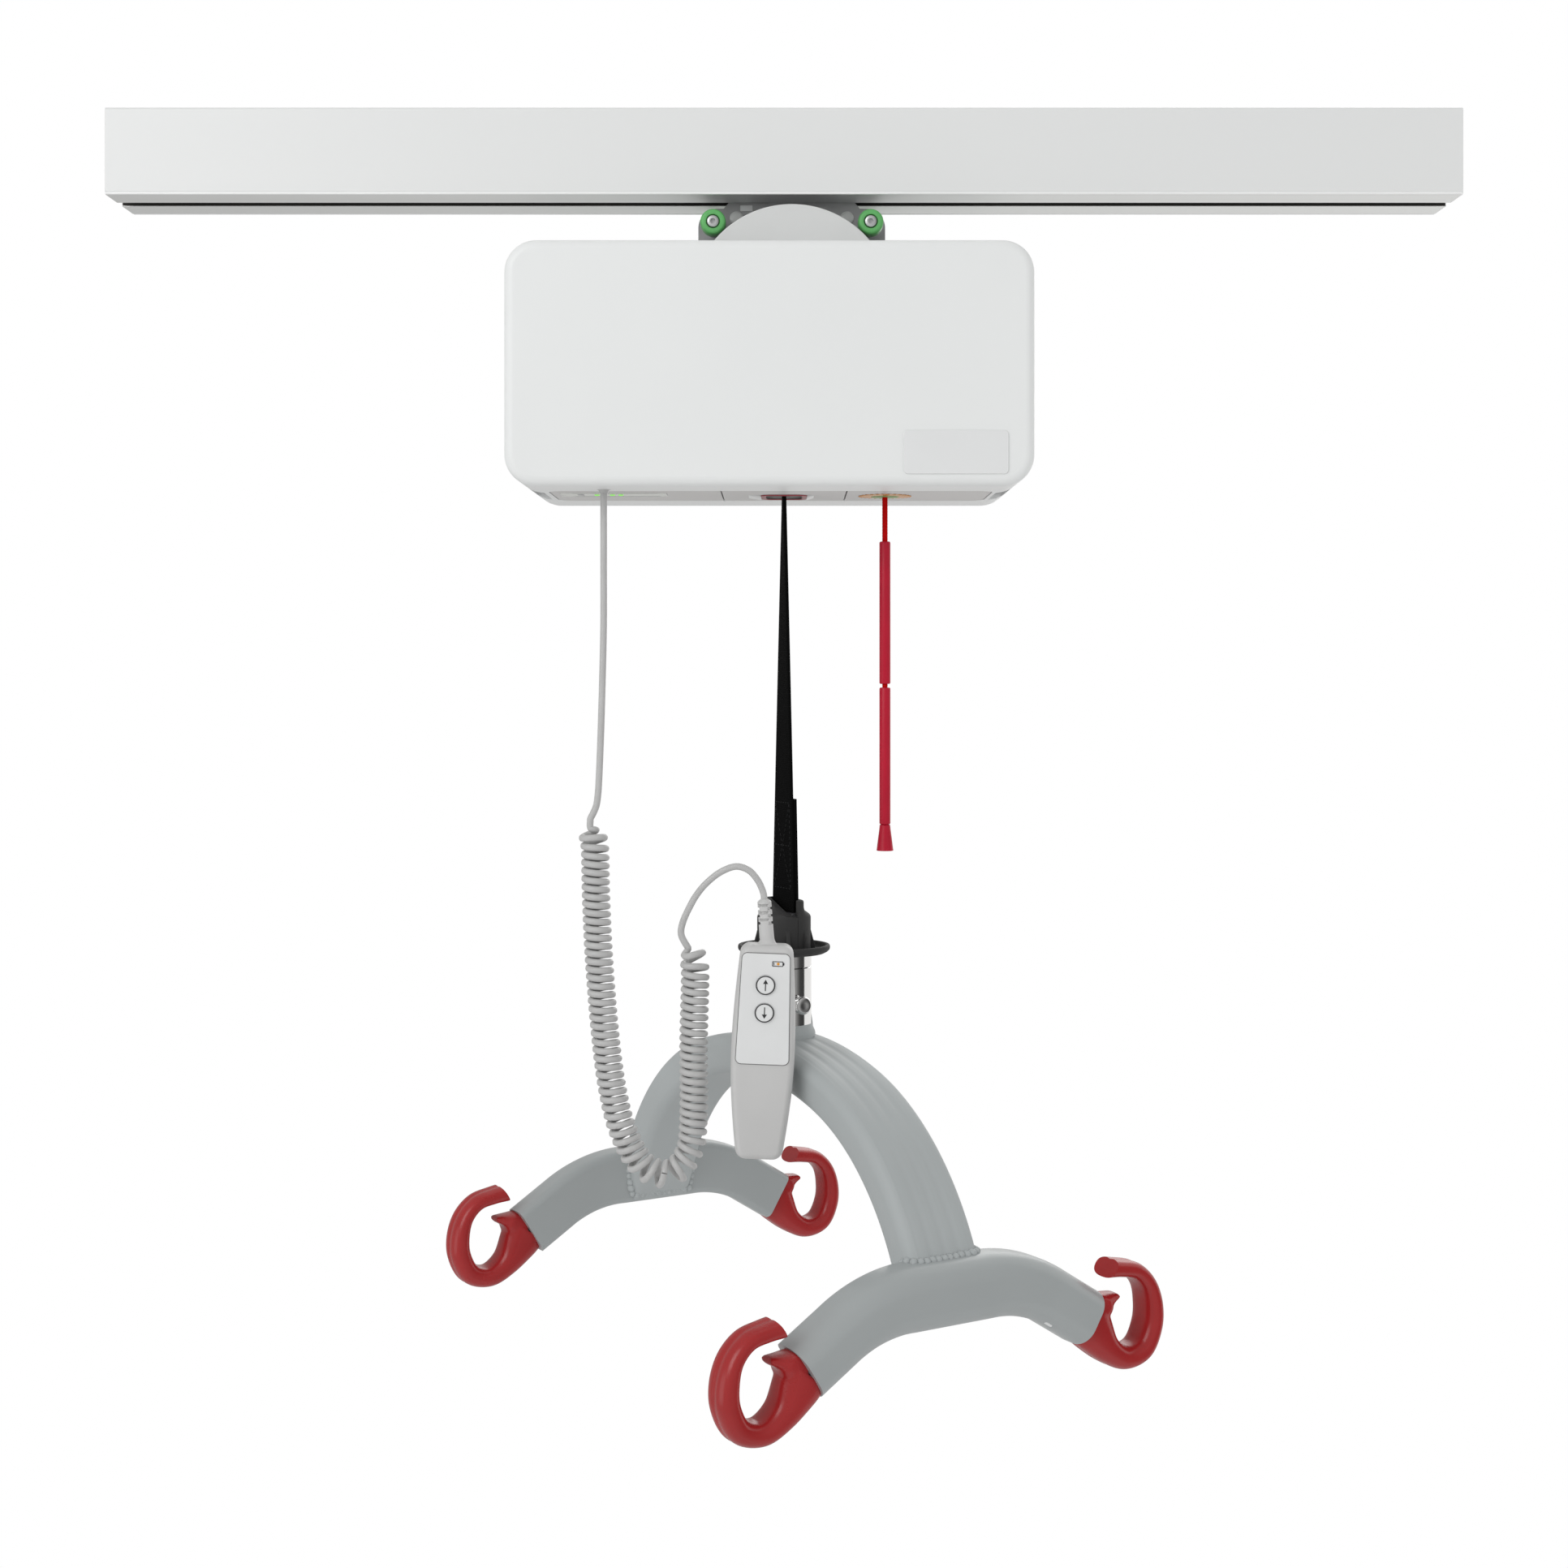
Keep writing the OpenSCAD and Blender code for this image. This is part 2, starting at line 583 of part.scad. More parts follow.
module covers(y0, y1) difference() {
    housing_form(0);
    housing_form(wall);
    translate([0, (y0 + y1)/2, housing_z]) difference() {
        cube(3*housing_w, center = true);
        cube([4*housing_w, y1 - y0, 4*housing_w], center = true);
    }
    slab_z(housing_top - 2*wall, housing_top + 1)
        translate([trolley_x, 0]) square([top_open_w, 2*top_open_y], center = true);
    slab_z(housing_bottom - 1, floor_top + 1) tray_area(gap);
    for (x = [tray_left - notch_w - 4, tray_right + 4])
        translate([x, (tray_front + tray_rear)/2 - 15, housing_bottom - 1]) cube([notch_w, 44, 9]);
    rod_z(gland_at[0], gland_at[1], housing_bottom - 1, floor_top + 1, gland_r);
    for (p = cover_screw_at) {
        rod_y(housing_x + p[0], housing_z + p[1], 0, housing_rear + 1, cover_screw_r + 0.1);
        rod_y(housing_x + p[0], housing_z + p[1], housing_rear - 1.5, housing_rear + 1,
            cover_screw_head + gap);
    }
}
module front_cover() color("whitesmoke") covers(-housing_front - 5, split_y);
module rear_cover() color("whitesmoke") covers(split_y, housing_rear + 5);

module cover_screws() color("silver") for (p = cover_screw_at)
    translate([housing_x + p[0], 0, housing_z + p[1]]) {
    rod_y(0, 0, housing_rear - 22, housing_rear - 1.5, cover_screw_r);
    rod_y(0, 0, housing_rear - 1.5, housing_rear, cover_screw_head);
}

module window_area() translate(window_at) round_rect(window_size[0], window_size[1], 4);
module bottom_tray() color("lightgray") difference() {
    slab_z(housing_bottom, floor_top) tray_area(0);
    for (x = tray_mid) translate([x - tray_joint/2, tray_front - 5, housing_bottom - 1])
        cube([tray_joint, tray_rear - tray_front + 10, wall + 2]);
    slab_z(housing_bottom - 1, floor_top + 1)
        square([ring_w - 2*ring_wall, ring_l - 2*ring_wall], center = true);
    rod_z(pull_x, pull_y, housing_bottom - 1, floor_top + 1, rope_d/2 + 1);
    slab_z(housing_bottom - 1, housing_bottom + window_t) window_area();
}

module display_window() color("honeydew") difference() {
    slab_z(housing_bottom, housing_bottom + window_t) window_area();
    for (x = led_at) rod_z(x, window_at[1], housing_bottom - 1, housing_bottom + 2, led_r);
}

module status_leds() color("limegreen") for (x = led_at)
    rod_z(x, window_at[1], housing_bottom, housing_bottom + window_t, led_r);

module strap_guide_ring() color("crimson") slab_z(housing_bottom - ring_proud, housing_bottom)
    difference() {
        round_rect(ring_w, ring_l, 8);
        round_rect(ring_w - 2*ring_wall, ring_l - 2*ring_wall, 5);
    }

module pull_rosette() color("darkorange") difference() {
    union() {
        rod_z(pull_x, pull_y, housing_bottom - 1.2, housing_bottom, rosette_r);
        rod_z(pull_x, pull_y, housing_bottom - rosette_t, housing_bottom - 1.2, rosette_r*0.55);
    }
    rod_z(pull_x, pull_y, housing_bottom - 5, housing_bottom + 1, rope_d/2 + gap);
}

module badge_plate() color("white") slab_y(-housing_front - badge_t, -housing_front)
    translate(badge_at) round_rect(badge_w, badge_h, 3);

module cord_gland() color("gray") difference() {
    union() {
        rod_z(gland_at[0], gland_at[1], housing_bottom - 1, floor_top, gland_r);
        rod_z(gland_at[0], gland_at[1], floor_top, floor_top + 2, gland_r + 2);
    }
    rod_z(gland_at[0], gland_at[1], housing_bottom - 2, lead_points[0][2], cord_d/2);
}

// Winch inside the housing
module plate_outline() {
    plate_top = housing_top - wall - 0.5;
    side = 0.7*(flange_r + 4);
    polygon([[trolley_x - hanger_dx - 12, plate_top], [trolley_x + hanger_dx + 12, plate_top],
        [trolley_x + hanger_dx + 12, hanger_z - 12], [drum_x + side, drum_z - 40],
        [drum_x - side, drum_z - 40], [drum_x - side, drum_z + 20]]);
}
module motor_plate_outline() {
    plate_w = 2*motor_r + 8;
    translate([motor_x, drum_z]) round_rect(plate_w, plate_w, 10);
    translate([motor_x, drum_z - 20]) square([gear_dist, 40]);
}
module frame_plates() color("darkgray") for (side = [-1, 1]) difference() {
    slab_y(side > 0 ? frame_in : -frame_out, side > 0 ? frame_out : -frame_in) {
        plate_outline();
        if (side > 0) motor_plate_outline();
    }
    for (s = [-1, 1]) rod_y(trolley_x + s*hanger_dx, hanger_z, -dome_y, dome_y, hanger_r);
    rod_y(drum_x, drum_z, -dome_y, dome_y, bearing_r);
    rod_y(motor_x, drum_z, -dome_y, dome_y, motor_shaft_r + 3);
}

module drum_bearings() color("silver") both_ways([0, 1, 0]) difference() {
    rod_y(drum_x, drum_z, frame_in, frame_out, bearing_r);
    rod_y(drum_x, drum_z, frame_in - 1, frame_out + 1, journal_r + run_fit);
}

module strap_drum() color("slategray") difference() {
    union() {
        rod_y(drum_x, drum_z, -flange_out, flange_out, drum_core_r);
        rod_y(drum_x, drum_z, -frame_out - 1, journal_end, journal_r);
        both_ways([0, 1, 0]) rod_y(drum_x, drum_z, flange_in, flange_out, flange_r);
    }
    for (a = [0:60:300]) rod_y(drum_x + 33*cos(a), drum_z + 33*sin(a), -flange_out - 1, flange_out + 1, 5);
}

module strap_wrap() color("black") difference() {
    rod_y(drum_x, drum_z, -strap_w/2, strap_w/2, wrap_r);
    rod_y(drum_x, drum_z, -strap_w, strap_w, drum_core_r);
}

module drum_gear() color("darkgray") difference() {
    slab_y(gear_y, gear_y + gear_w) translate([drum_x, drum_z]) gear_outline(gear_teeth);
    rod_y(drum_x, drum_z, 0, housing_rear, journal_r);
    for (a = [30:60:330]) rod_y(drum_x + 34*cos(a), drum_z + 34*sin(a), 0, housing_rear, 10);
}

module motor_pinion() color("silver") {
    slab_y(gear_y, gear_y + gear_w) translate([motor_x, drum_z]) rotate(180/pinion_teeth)
        gear_outline(pinion_teeth);
    rod_y(motor_x, drum_z, frame_in - 16, gear_y, motor_shaft_r);
}

module motor() color("dimgray") difference() {
    union() {
        rod_y(motor_x, drum_z, -64, frame_in - 18, motor_r);
        rod_y(motor_x, drum_z, -70, -64, motor_r - 6);
        rod_y(motor_x, drum_z, frame_in - 18, frame_in, motor_r - 2);
    }
    rod_y(motor_x, drum_z, frame_in - 17, frame_in + 1, motor_shaft_r + run_fit);
}

module battery_packs() color("royalblue") for (y = [tray_front + 22, tray_rear - 22])
    translate([tray_right - 27, y, floor_top]) slab_z(0, 112) round_rect(48, 38, 5);

module control_board() color("darkgreen") {
    board_x = (tray_left + tray_mid[0])/2;
    slab_z(floor_top + 8, floor_top + 9.6) translate([board_x, -2]) square([104, 66], center = true);
    for (x = [-46, 46], y = [-27, 27]) rod_z(board_x + x, y - 2, floor_top, floor_top + 8, 3);
    for (x = [-30, 0, 28]) translate([board_x + x, -6, floor_top + 9.6])
        slab_z(0, 7) square([18, 26], center = true);
}

module pull_switch() color("dimgray") difference() {
    translate([pull_x, pull_y, floor_top]) slab_z(0, 26) round_rect(24, 26, 3);
    rod_z(pull_x, pull_y, floor_top - 1, rope_top + 2, rope_d/2 + gap);
}

// Strap and coupling
function strap_turn(z) = let (t = min(max((housing_bottom - z)/(housing_bottom - coupling_top), 0), 1))
    strap_twist*t*t*(3 - 2*t);
function strap_ring(z, back) = let (a = strap_turn(z), w = strap_w/2, t = strap_t/2)
    [for (p = [[-t, -w], [t + back, -w], [t + back, w], [-t, w]])
        [p[0]*cos(a) - p[1]*sin(a), p[0]*sin(a) + p[1]*cos(a), z]];
module lifting_strap() color("black") {
    upper = [strap_top, for (k = [0:16]) housing_bottom + (tail_top - housing_bottom)*k/16];
    lower = [for (k = [0:4]) tail_top + (strap_end - tail_top)*k/4];
    sweep(concat([for (z = upper) strap_ring(z, 0)], [for (z = lower) strap_ring(z - 0.01, strap_t)]));
}

module pin_rod() translate([-pin_l/2, 0, pin_z]) rotate([0, 90, 0]) cylinder(h = pin_l, r = pin_r);
module strap_pin() color("silver") turned() pin_rod();

module coupling_form() {
    low = dish_floor;
    mid = coupling_top - 13;
    hull() {
        slab_z(mid - 1, mid) circle(coupling_r, $fn = 32);
        slab_z(coupling_top - 1, coupling_top) round_rect(2*coupling_r, 17, 8, $fn = 32);
    }
    slab_z(low, mid - 0.5) circle(coupling_r);
    for (a = [0:45:315]) rotate([0, 0, a]) translate([0, 1.5, 0]) slab_y(-3, 0)
        polygon([[0, low], [coupling_r + 3.5, low], [coupling_r + 2.5, low + 5],
            [coupling_r - 1, low + 15], [0, low + 15]]);
}
module coupling_shell(side) color("black") turned() difference() {
    coupling_form();
    translate([-60, side > 0 ? -60 : 0, -700]) cube([120, 60, 200]);
    slab_z(strap_end - 1, 0) square([strap_w + 3, 2*strap_t + 4.4], center = true);
    pin_rod();
    rod_z(0, 0, dish_floor - 1, head_top + 1, coupling_cavity_r);
    if (side < 0) translate([0, -30, coupling_top]) rotate([0, 22, 0]) cube([90, 50, 8], center = true);
}
module coupling_front() coupling_shell(-1);
module coupling_rear() coupling_shell(1);

module hanger_disc() color("black") translate([0, 0, disc_bottom]) rotate_extrude($fn = 96) {
    rim = dish_rim - disc_bottom;
    floor_t = dish_floor - disc_bottom;
    polygon([[spindle_r + 0.4, 0], [disc_r - 4, 0], [disc_r, 2.5], [disc_r, rim - 1], [disc_r - 1, rim],
        [disc_r - rim_w, rim], [disc_r - rim_w - 0.6, floor_t], [spindle_r + 0.4, floor_t]]);
}

module swivel_bearing() color("silver") {
    difference() {
        rod_z(0, 0, dish_floor, bearing_top, head_r);
        rod_z(0, 0, dish_floor - 1, bearing_top + 1, spindle_r + run_fit);
    }
    difference() {
        rod_z(0, 0, stem_seam + gap, disc_bottom, stem_r);
        rod_z(0, 0, stem_seam, disc_bottom + 1, spindle_r + 0.4);
    }
}

module swivel_stem() color("silver") difference() {
    union() {
        rod_z(0, 0, arch_top, stem_seam, stem_r);
        rod_z(0, 0, stem_seam, head_top, spindle_r);
        rod_z(0, 0, bearing_top + gap, head_top, head_r);
    }
    turned() translate([knob_pin_in - 1, 0, knob_z]) rotate([0, 90, 0])
        cylinder(h = stem_r, r = knob_pin_r + run_fit);
}

module release_knob() color("gainsboro") turned() translate([0, 0, knob_z]) rotate([0, 90, 0]) {
    translate([0, 0, knob_pin_in]) cylinder(h = knob_face - 4 - knob_pin_in, r = knob_pin_r);
    translate([0, 0, stem_r + 1]) cylinder(h = 2, r = knob_r - 1.2);
    translate([0, 0, stem_r + 3]) cylinder(h = knob_face - stem_r - 4, r = knob_r);
    translate([0, 0, knob_face - 1]) cylinder(h = 1, r1 = knob_r, r2 = knob_r - 1);
}

// Sling bar
module stem_collar() color("lightslategray") turned() difference() {
    union() {
        translate([0, 0, arch_top - 3]) rotate_extrude()
            polygon([[0, 0], [collar_r, 0], [collar_r, 7], [collar_r - 2, 10], [0, 12]]);
        both_ways([0, 1, 0]) rotate([0, 0, 90]) slab_y(-3, 3) polygon([[stem_r - 1, collar_top - 4],
            [stem_r + 2.5, collar_top - 4], [stem_r + 1, collar_top + 6]]);
    }
    rod_z(0, 0, arch_top - 10, collar_top + 10, stem_r);
    arch_sweep([for (k = [-2:2]) arch_place(arch_a1*k/6)]);
}

// Arch: a fluted outline carried along two arcs and a straight foot on each side
function flute_dip(v) = max([for (k = [-2:2]) let (e = abs(v - k*flute_pitch))
    e < flute_half ? sqrt(flute_r*flute_r - e*e) - flute_r + flute_depth : 0]);
function arch_crown(v) = let (e = max(abs(v) - arch_w/2 + arch_edge_r, 0))
    arch_t/2 - arch_edge_r + sqrt(max(arch_edge_r*arch_edge_r - e*e, 0));
arch_side = arch_w/2 - arch_edge_r;
arch_steps = concat([arch_w/2, arch_w/2 - 0.3, arch_w/2 - 1.2],
    [for (k = [2:-1:-2], j = [2:-1:-2]) k*flute_pitch + j*flute_half/2],
    [1.2 - arch_w/2, 0.3 - arch_w/2, -arch_w/2]);
arch_outline = concat([for (v = arch_steps) [v, min(arch_crown(v), arch_t/2 - flute_dip(v))]],
    corner_arc([-arch_side, arch_edge_r - arch_t/2], arch_edge_r, 180, 4),
    corner_arc([arch_side, arch_edge_r - arch_t/2], arch_edge_r, 270, 4));
function arch_place(b) = let (q = abs(b), upper = q <= arch_a1, c = upper ? [0, arch_c1] : arch_c2,
        r = (upper ? arch_r1 : arch_r2) - arch_t/2)
    [sign(b)*(c[0] + r*sin(q)), c[1] + r*cos(q), b];
arch_turns = concat([for (k = [1:6]) arch_a1*k/6], [for (k = [1:10]) arch_a1 + (arch_a2 - arch_a1)*k/10]);
arch_half = concat([for (b = arch_turns) arch_place(b)],
    [concat(arch_foot + arch_tail*[cos(arch_a2), -sin(arch_a2)], [arch_a2])]);
function other_side(line) = [for (k = [len(line) - 1:-1:0]) [-line[k][0], line[k][1], -line[k][2]]];
arch_line = concat(other_side(arch_half), [arch_place(0)], arch_half);
module arch_sweep(line) sweep([for (p = line) [for (q = arch_outline)
    [p[0] + q[1]*sin(p[2]), q[0], p[1] + q[1]*cos(p[2])]]]);
module arch() color("lightslategray") turned() difference() {
    arch_sweep(arch_line);
    both_ways([1, 0, 0]) translate([bar_reach, -bar_flat, bar_z]) rotate([-90, 0, 0])
        linear_extrude(2*bar_flat) polygon(bar_outline);
}

// Cross-bar: a D-shaped outline carried along a bent line
bar_corner = [[bar_d/2 - bar_outer_r, bar_h/2 - bar_outer_r],
    [bar_inner_r - bar_d/2, bar_h/2 - bar_inner_r]];
bar_outline = concat(
    corner_arc(bar_corner[0], bar_outer_r, 0, 6),
    corner_arc(bar_corner[1], bar_inner_r, 90, 3),
    corner_arc([bar_corner[1][0], -bar_corner[1][1]], bar_inner_r, 180, 3),
    corner_arc([bar_corner[0][0], -bar_corner[0][1]], bar_outer_r, 270, 6));
function bar_place(b) = [bar_flat + bar_bend_r*sin(b), bar_z - bar_bend_r*(1 - cos(b)), b];
bar_half = [for (k = [0:6]) bar_place(bar_bend*k/6), [bar_end[0], bar_end[1], bar_bend]];
bar_line = concat(other_side(bar_half), bar_half);
function bar_slim(b) = 1 - bar_taper*abs(b)/bar_bend;
module bar_solid() sweep([for (p = bar_line) [for (q = bar_outline) let (h = q[1]*bar_slim(p[2]))
    [bar_reach + q[0], p[0] - h*sin(p[2]), p[1] - h*cos(p[2])]]]);
module at_bar_end(depth) translate([bar_reach, bar_end[0], bar_end[1]]) rotate([-bar_bend, 0, 0])
    rotate([-90, 0, 0]) translate([0, 0, depth]) children();
module crossbars() color("lightslategray") turned() both_ways([1, 0, 0]) difference() {
    bar_solid();
    both_ways([0, 1, 0]) at_bar_end(-spigot_l) cylinder(h = spigot_l + 1, r = spigot_r);
}

// Hooks swept along their middle line, cut square where they meet the bar
function hook_ring(p, t, h, w) = let (n = [t[1], -t[0]])
    [for (k = [0:11]) let (c = cos(30*k), s = sin(30*k),
            u = sign(c)*pow(abs(c), 0.8), v = sign(s)*pow(abs(s), 0.8))
        [bar_reach + w*u, p[0] + h*v*n[0], p[1] + h*v*n[1]]];
function hook_rings(line, n, w) = let (pts = spline(line, n))
    [for (i = [0:len(pts) - 1]) let (p = pts[i], t = tangent([for (q = pts) [q[0], q[1]]], i))
        hook_ring([bar_end[0] + p[0], bar_end[1] + p[1]], t, p[2], w*min(1, 0.45 + p[2]/13))];
module hook_solid() {
    difference() {
        union() {
            sweep(hook_rings(hook_line, 3, hook_d/2));
            sweep(hook_rings(beak_line, 3, hook_d/2 - 1.5));
        }
        at_bar_end(-50) translate([-50, -60, 0]) cube([100, 120, 50]);
    }
    at_bar_end(-spigot_l) cylinder(h = spigot_l + 2, r = spigot_r);
}
module hooks_front() color("firebrick") turned() both_ways([0, 1, 0]) hook_solid();
module hooks_rear() color("firebrick") turned() mirror([1, 0, 0]) both_ways([0, 1, 0]) hook_solid();

// Handset, drawn upright below its top and then leaned
module handset_place() translate([handset_at[0], 0, handset_at[1]]) rotate([0, handset_lean, 0]) children();
function side_points(grow, n) = [for (k = [0:n]) let (t = k/n, z = -handset_l*t,
        w = t < 0.35 ? handset_top_w + (handset_w - handset_top_w)*sin(90*t/0.35)
            : handset_bottom_w + (handset_w - handset_bottom_w)*pow(cos(90*(t - 0.35)/0.65), 1.2),
        e = min(t, 1 - t)*handset_l, c = e < 12 ? 12 - sqrt(max(144 - pow(12 - e, 2), 0)) : 0)
    [w/2 - 0.75*c + grow, z]];
module handset_outline(grow) {
    right = side_points(grow, 40);
    polygon(concat(right, [for (k = [len(right) - 1:-1:0]) [-right[k][0], right[k][1]]]));
}
module handset_layer(ya, yb, grow) slab_y(min(ya, yb), max(ya, yb)) handset_outline(grow);
module handset_half(front) {
    face = front ? handset_y : handset_back;
    way = front ? 1 : -1;
    handset_layer(face + way*4, handset_split, 0);
    handset_layer(face + way*1.5, face + way*4, -1);
    handset_layer(face, face + way*1.5, -2.6);
}
module handset_room() slab_y(handset_y + 4, handset_back - 4) intersection() {
    handset_outline(-3);
    translate([-50, -handset_l + 6]) square([100, handset_l - 12]);
}
module handset_front() color("gainsboro") handset_place() difference() {
    handset_half(true);
    handset_room();
    for (d = button_drop) rod_y(0, -d, handset_y - 1, handset_y + 5, button_r + gap);
}
module handset_rear() color("gainsboro") {
    handset_place() difference() {
        handset_half(false);
        handset_room();
    }
    translate([handset_at[0] - hook_w/2, 0, 0]) {
        translate([0, handset_back, dish_rim + gap]) cube([hook_w, -22 - handset_back, 2.5]);
        translate([0, -24.5, dish_floor + 1.5]) cube([hook_w, 2.5, dish_rim - dish_floor]);
        translate([0, handset_back - 1, dish_rim - 14]) cube([hook_w, 4, 17]);
    }
}
module handset_overlay() color("white") handset_place() difference() {
    slab_y(handset_y - overlay_t, handset_y) translate([0, -overlay_drop - overlay_l/2])
        round_rect(overlay_w, overlay_l, 8);
    for (d = button_drop) rod_y(0, -d, handset_y - 5, handset_y + 5, button_r + gap);
}
module handset_board() color("darkgreen") handset_place() {
    y = handset_y + 4 + 2 + button_travel;
    translate([0, 0, -62]) slab_y(y, y + 1.6) square([32, 96], center = true);
    for (d = [22, 104]) translate([0, 0, -d])
        slab_y(y + 1.6, handset_back - 4) square([12, 6], center = true);
}
module hand_button(drop) color("whitesmoke") handset_place() {
    rod_y(0, -drop, handset_y - overlay_t - button_proud, handset_y + 4.5, button_r);
    rod_y(0, -drop, handset_y + 4.5, handset_y + 5.5, button_r + 1.5);
}
module button_up() hand_button(button_drop[0]);
module button_down() hand_button(button_drop[1]);

module strain_relief() color("gainsboro") handset_place() translate([0, handset_split, 0]) difference() {
    union() {
        cylinder(h = relief_flange, r = relief_r + 0.8);
        rotate([0, relief_bend, 0]) relief_sleeve();
    }
    rotate([0, relief_bend, 0]) translate([0, 0, relief_l - 4]) cylinder(h = 10, r = cord_d/2 + 0.2);
}
module relief_sleeve() intersection() {
    rotate_extrude() polygon(concat(
        [[0, -1], [relief_r, -1], [relief_r, relief_l*0.45]],
        [for (k = [0:4]) let (z = relief_l*(0.45 + 0.11*k), r = relief_r - 0.1*k) each
            [[relief_r - 1.1, z], [relief_r - 1.1, z + 1.3], [r, z + 1.3], [r, z + 3.5]]],
        [[cord_d/2 + 1.4, relief_l], [0, relief_l]]));
    rotate([0, -relief_bend, 0]) cylinder(h = relief_l + 5, r = relief_l);
}

// Hand cord
module cord_lead() color("silver") tube(lead_points, 2, cord_d/2, 10);
module cord_tail() color("silver") tube(tail_points, 2, cord_d/2, 10);
module cord_curls() color("silver") sweep([for (i = [0:len(curl_path) - 1])
    ring(curl_path[i], tangent(curl_path, i), curl_out[i], cord_d/2, 6)]);

// Pull cord
module pull_rope() color("red")
    rod_z(pull_x, pull_y, grip_top - 2*grip_l - grip_gap - 6, rope_top, rope_d/2);
module pull_grip() color("crimson") translate([pull_x, pull_y, 0]) {
    for (k = [0, 1]) translate([0, 0, grip_top - grip_l - k*(grip_l + grip_gap)]) difference() {
        cylinder(h = grip_l, r = grip_d/2);
        translate([0, 0, -1]) cylinder(h = grip_l + 2, r = rope_d/2);
    }
    translate([0, 0, grip_top - 2*grip_l - grip_gap]) mirror([0, 0, 1]) difference() {
        cylinder(h = bell_l, r1 = grip_d/2 - 0.8, r2 = grip_d/2 + 2.2);
        translate([0, 0, -1]) cylinder(h = 7, r = rope_d/2);
        translate([0, 0, bell_l - 5]) cylinder(h = 6, r1 = rope_d/2, r2 = grip_d/2 + 1.2);
    }
}

rail_profile();
end_stops();
end_stop_screws();
trolley_chassis();
dome_plates();
hanger_bolts();
roller_screws();
front_cover();
rear_cover();
bottom_tray();
display_window();
status_leds();
strap_guide_ring();
pull_rosette();
badge_plate();
frame_plates();
motor();
battery_packs();
control_board();
drum_bearings();
cover_screws();
pull_switch();
cord_gland();
axle_left();
wheels_left();
axle_right();
wheels_right();
roller_front_left();
roller_front_right();
roller_rear_left();
roller_rear_right();
strap_drum();
drum_gear();
strap_wrap();
motor_pinion();
lifting_strap();
strap_pin();
coupling_front();
coupling_rear();
hanger_disc();
swivel_bearing();
handset_front();
handset_rear();
handset_overlay();
handset_board();
strain_relief();
button_up();
button_down();
cord_lead();
cord_curls();
cord_tail();
swivel_stem();
release_knob();
stem_collar();
arch();
crossbars();
hooks_front();
hooks_rear();
pull_rope();
pull_grip();
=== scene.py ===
"""Dressed scene of a ceiling track hoist, laid out as an add-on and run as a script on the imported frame."""
import bisect
import math
from types import SimpleNamespace

import bmesh
import bpy
from bpy.props import FloatProperty, FloatVectorProperty, IntProperty, PointerProperty
from mathutils import Matrix, Vector


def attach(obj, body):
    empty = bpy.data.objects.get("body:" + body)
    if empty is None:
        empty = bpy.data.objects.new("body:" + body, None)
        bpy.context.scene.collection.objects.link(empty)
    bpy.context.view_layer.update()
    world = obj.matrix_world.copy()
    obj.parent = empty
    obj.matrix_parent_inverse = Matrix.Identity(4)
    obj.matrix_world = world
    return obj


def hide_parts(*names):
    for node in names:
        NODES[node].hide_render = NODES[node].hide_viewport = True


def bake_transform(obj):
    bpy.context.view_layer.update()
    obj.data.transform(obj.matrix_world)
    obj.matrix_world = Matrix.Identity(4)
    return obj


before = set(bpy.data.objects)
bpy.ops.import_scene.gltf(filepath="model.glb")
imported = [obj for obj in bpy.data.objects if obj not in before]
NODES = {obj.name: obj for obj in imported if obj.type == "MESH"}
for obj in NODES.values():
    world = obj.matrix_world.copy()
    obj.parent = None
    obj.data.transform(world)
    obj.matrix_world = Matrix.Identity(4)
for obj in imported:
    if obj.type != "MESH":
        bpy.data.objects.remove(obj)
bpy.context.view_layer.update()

bl_info = {
    "name": "Ceiling track hoist",
    "version": (1, 0, 0),
    "blender": (4, 5, 0),
    "location": "View3D > Sidebar > Hoist",
    "description": "Dresses a ceiling track hoist: rail, trolley, lift housing, sling bar, handset and cords",
    "category": "Object",
}

MM = 0.001
YAW = math.radians(-58.6)
UP = Vector((0, 0, 1))
ACROSS = (1, 0, 0)

# Places that follow the solids, in millimetres
RAIL = {"length": 966, "height": 62, "width": 70, "wall": 4, "top": 5, "lip": 6}
TROLLEY_X = 5.6
DOME_R, DOME_Z, DOME_CUT, DOME_DEPTHS = 72, -142, -121.5, ((-40, -34), (34, 40))
ROLLER_X, ROLLER_Z, ROLLER_NEAR, ROLLER_FAR = 56.2, -81, 22, 34
CHASSIS_FACE, CHASSIS_BOLT_X, CHASSIS_BOLT_Z = 4.5, 40, -73
TAG_AT, TAG_W, TAG_H = (-27.2, -65.8), 9, 4.2
HOUSING = {"left": -192, "right": 172, "top": -105.5, "bottom": -274.5, "front": -95, "rear": 92}
COVER_WALL, TROLLEY_GAP_L, TROLLEY_GAP_W = 3.0, 156, 88
COVER_SCREWS = [(-160, -135), (120, -135), (-160, -245), (120, -245)]
CORD_HOLE_R, SCREW_SEAT_R, SCREW_SEAT_DEPTH = 5, 4.3, 1.5
BADGE_AT, BADGE_W, BADGE_H = (117.6, -251.5), 72, 30
TRAY = {"left": -166, "right": 147, "front": -50, "rear": 35, "corner": 12, "joints": (-44.5, 44.5)}
NOTCHES, NOTCH_W, NOTCH_L, NOTCH_Y = ((-1, -170.5), (1, 150.5)), 11, 62, -4.5
WINDOW_AT, WINDOW_W, WINDOW_D, WINDOW_R = (-122, -21), 76, 30, 4
LIGHTS_X = (-134, -123, -117)
DISPLAY_SPOT_AT, DISPLAY_SPOT_W, DISPLAY_SPOT_D = (-145.5, -21), 4.6, 9
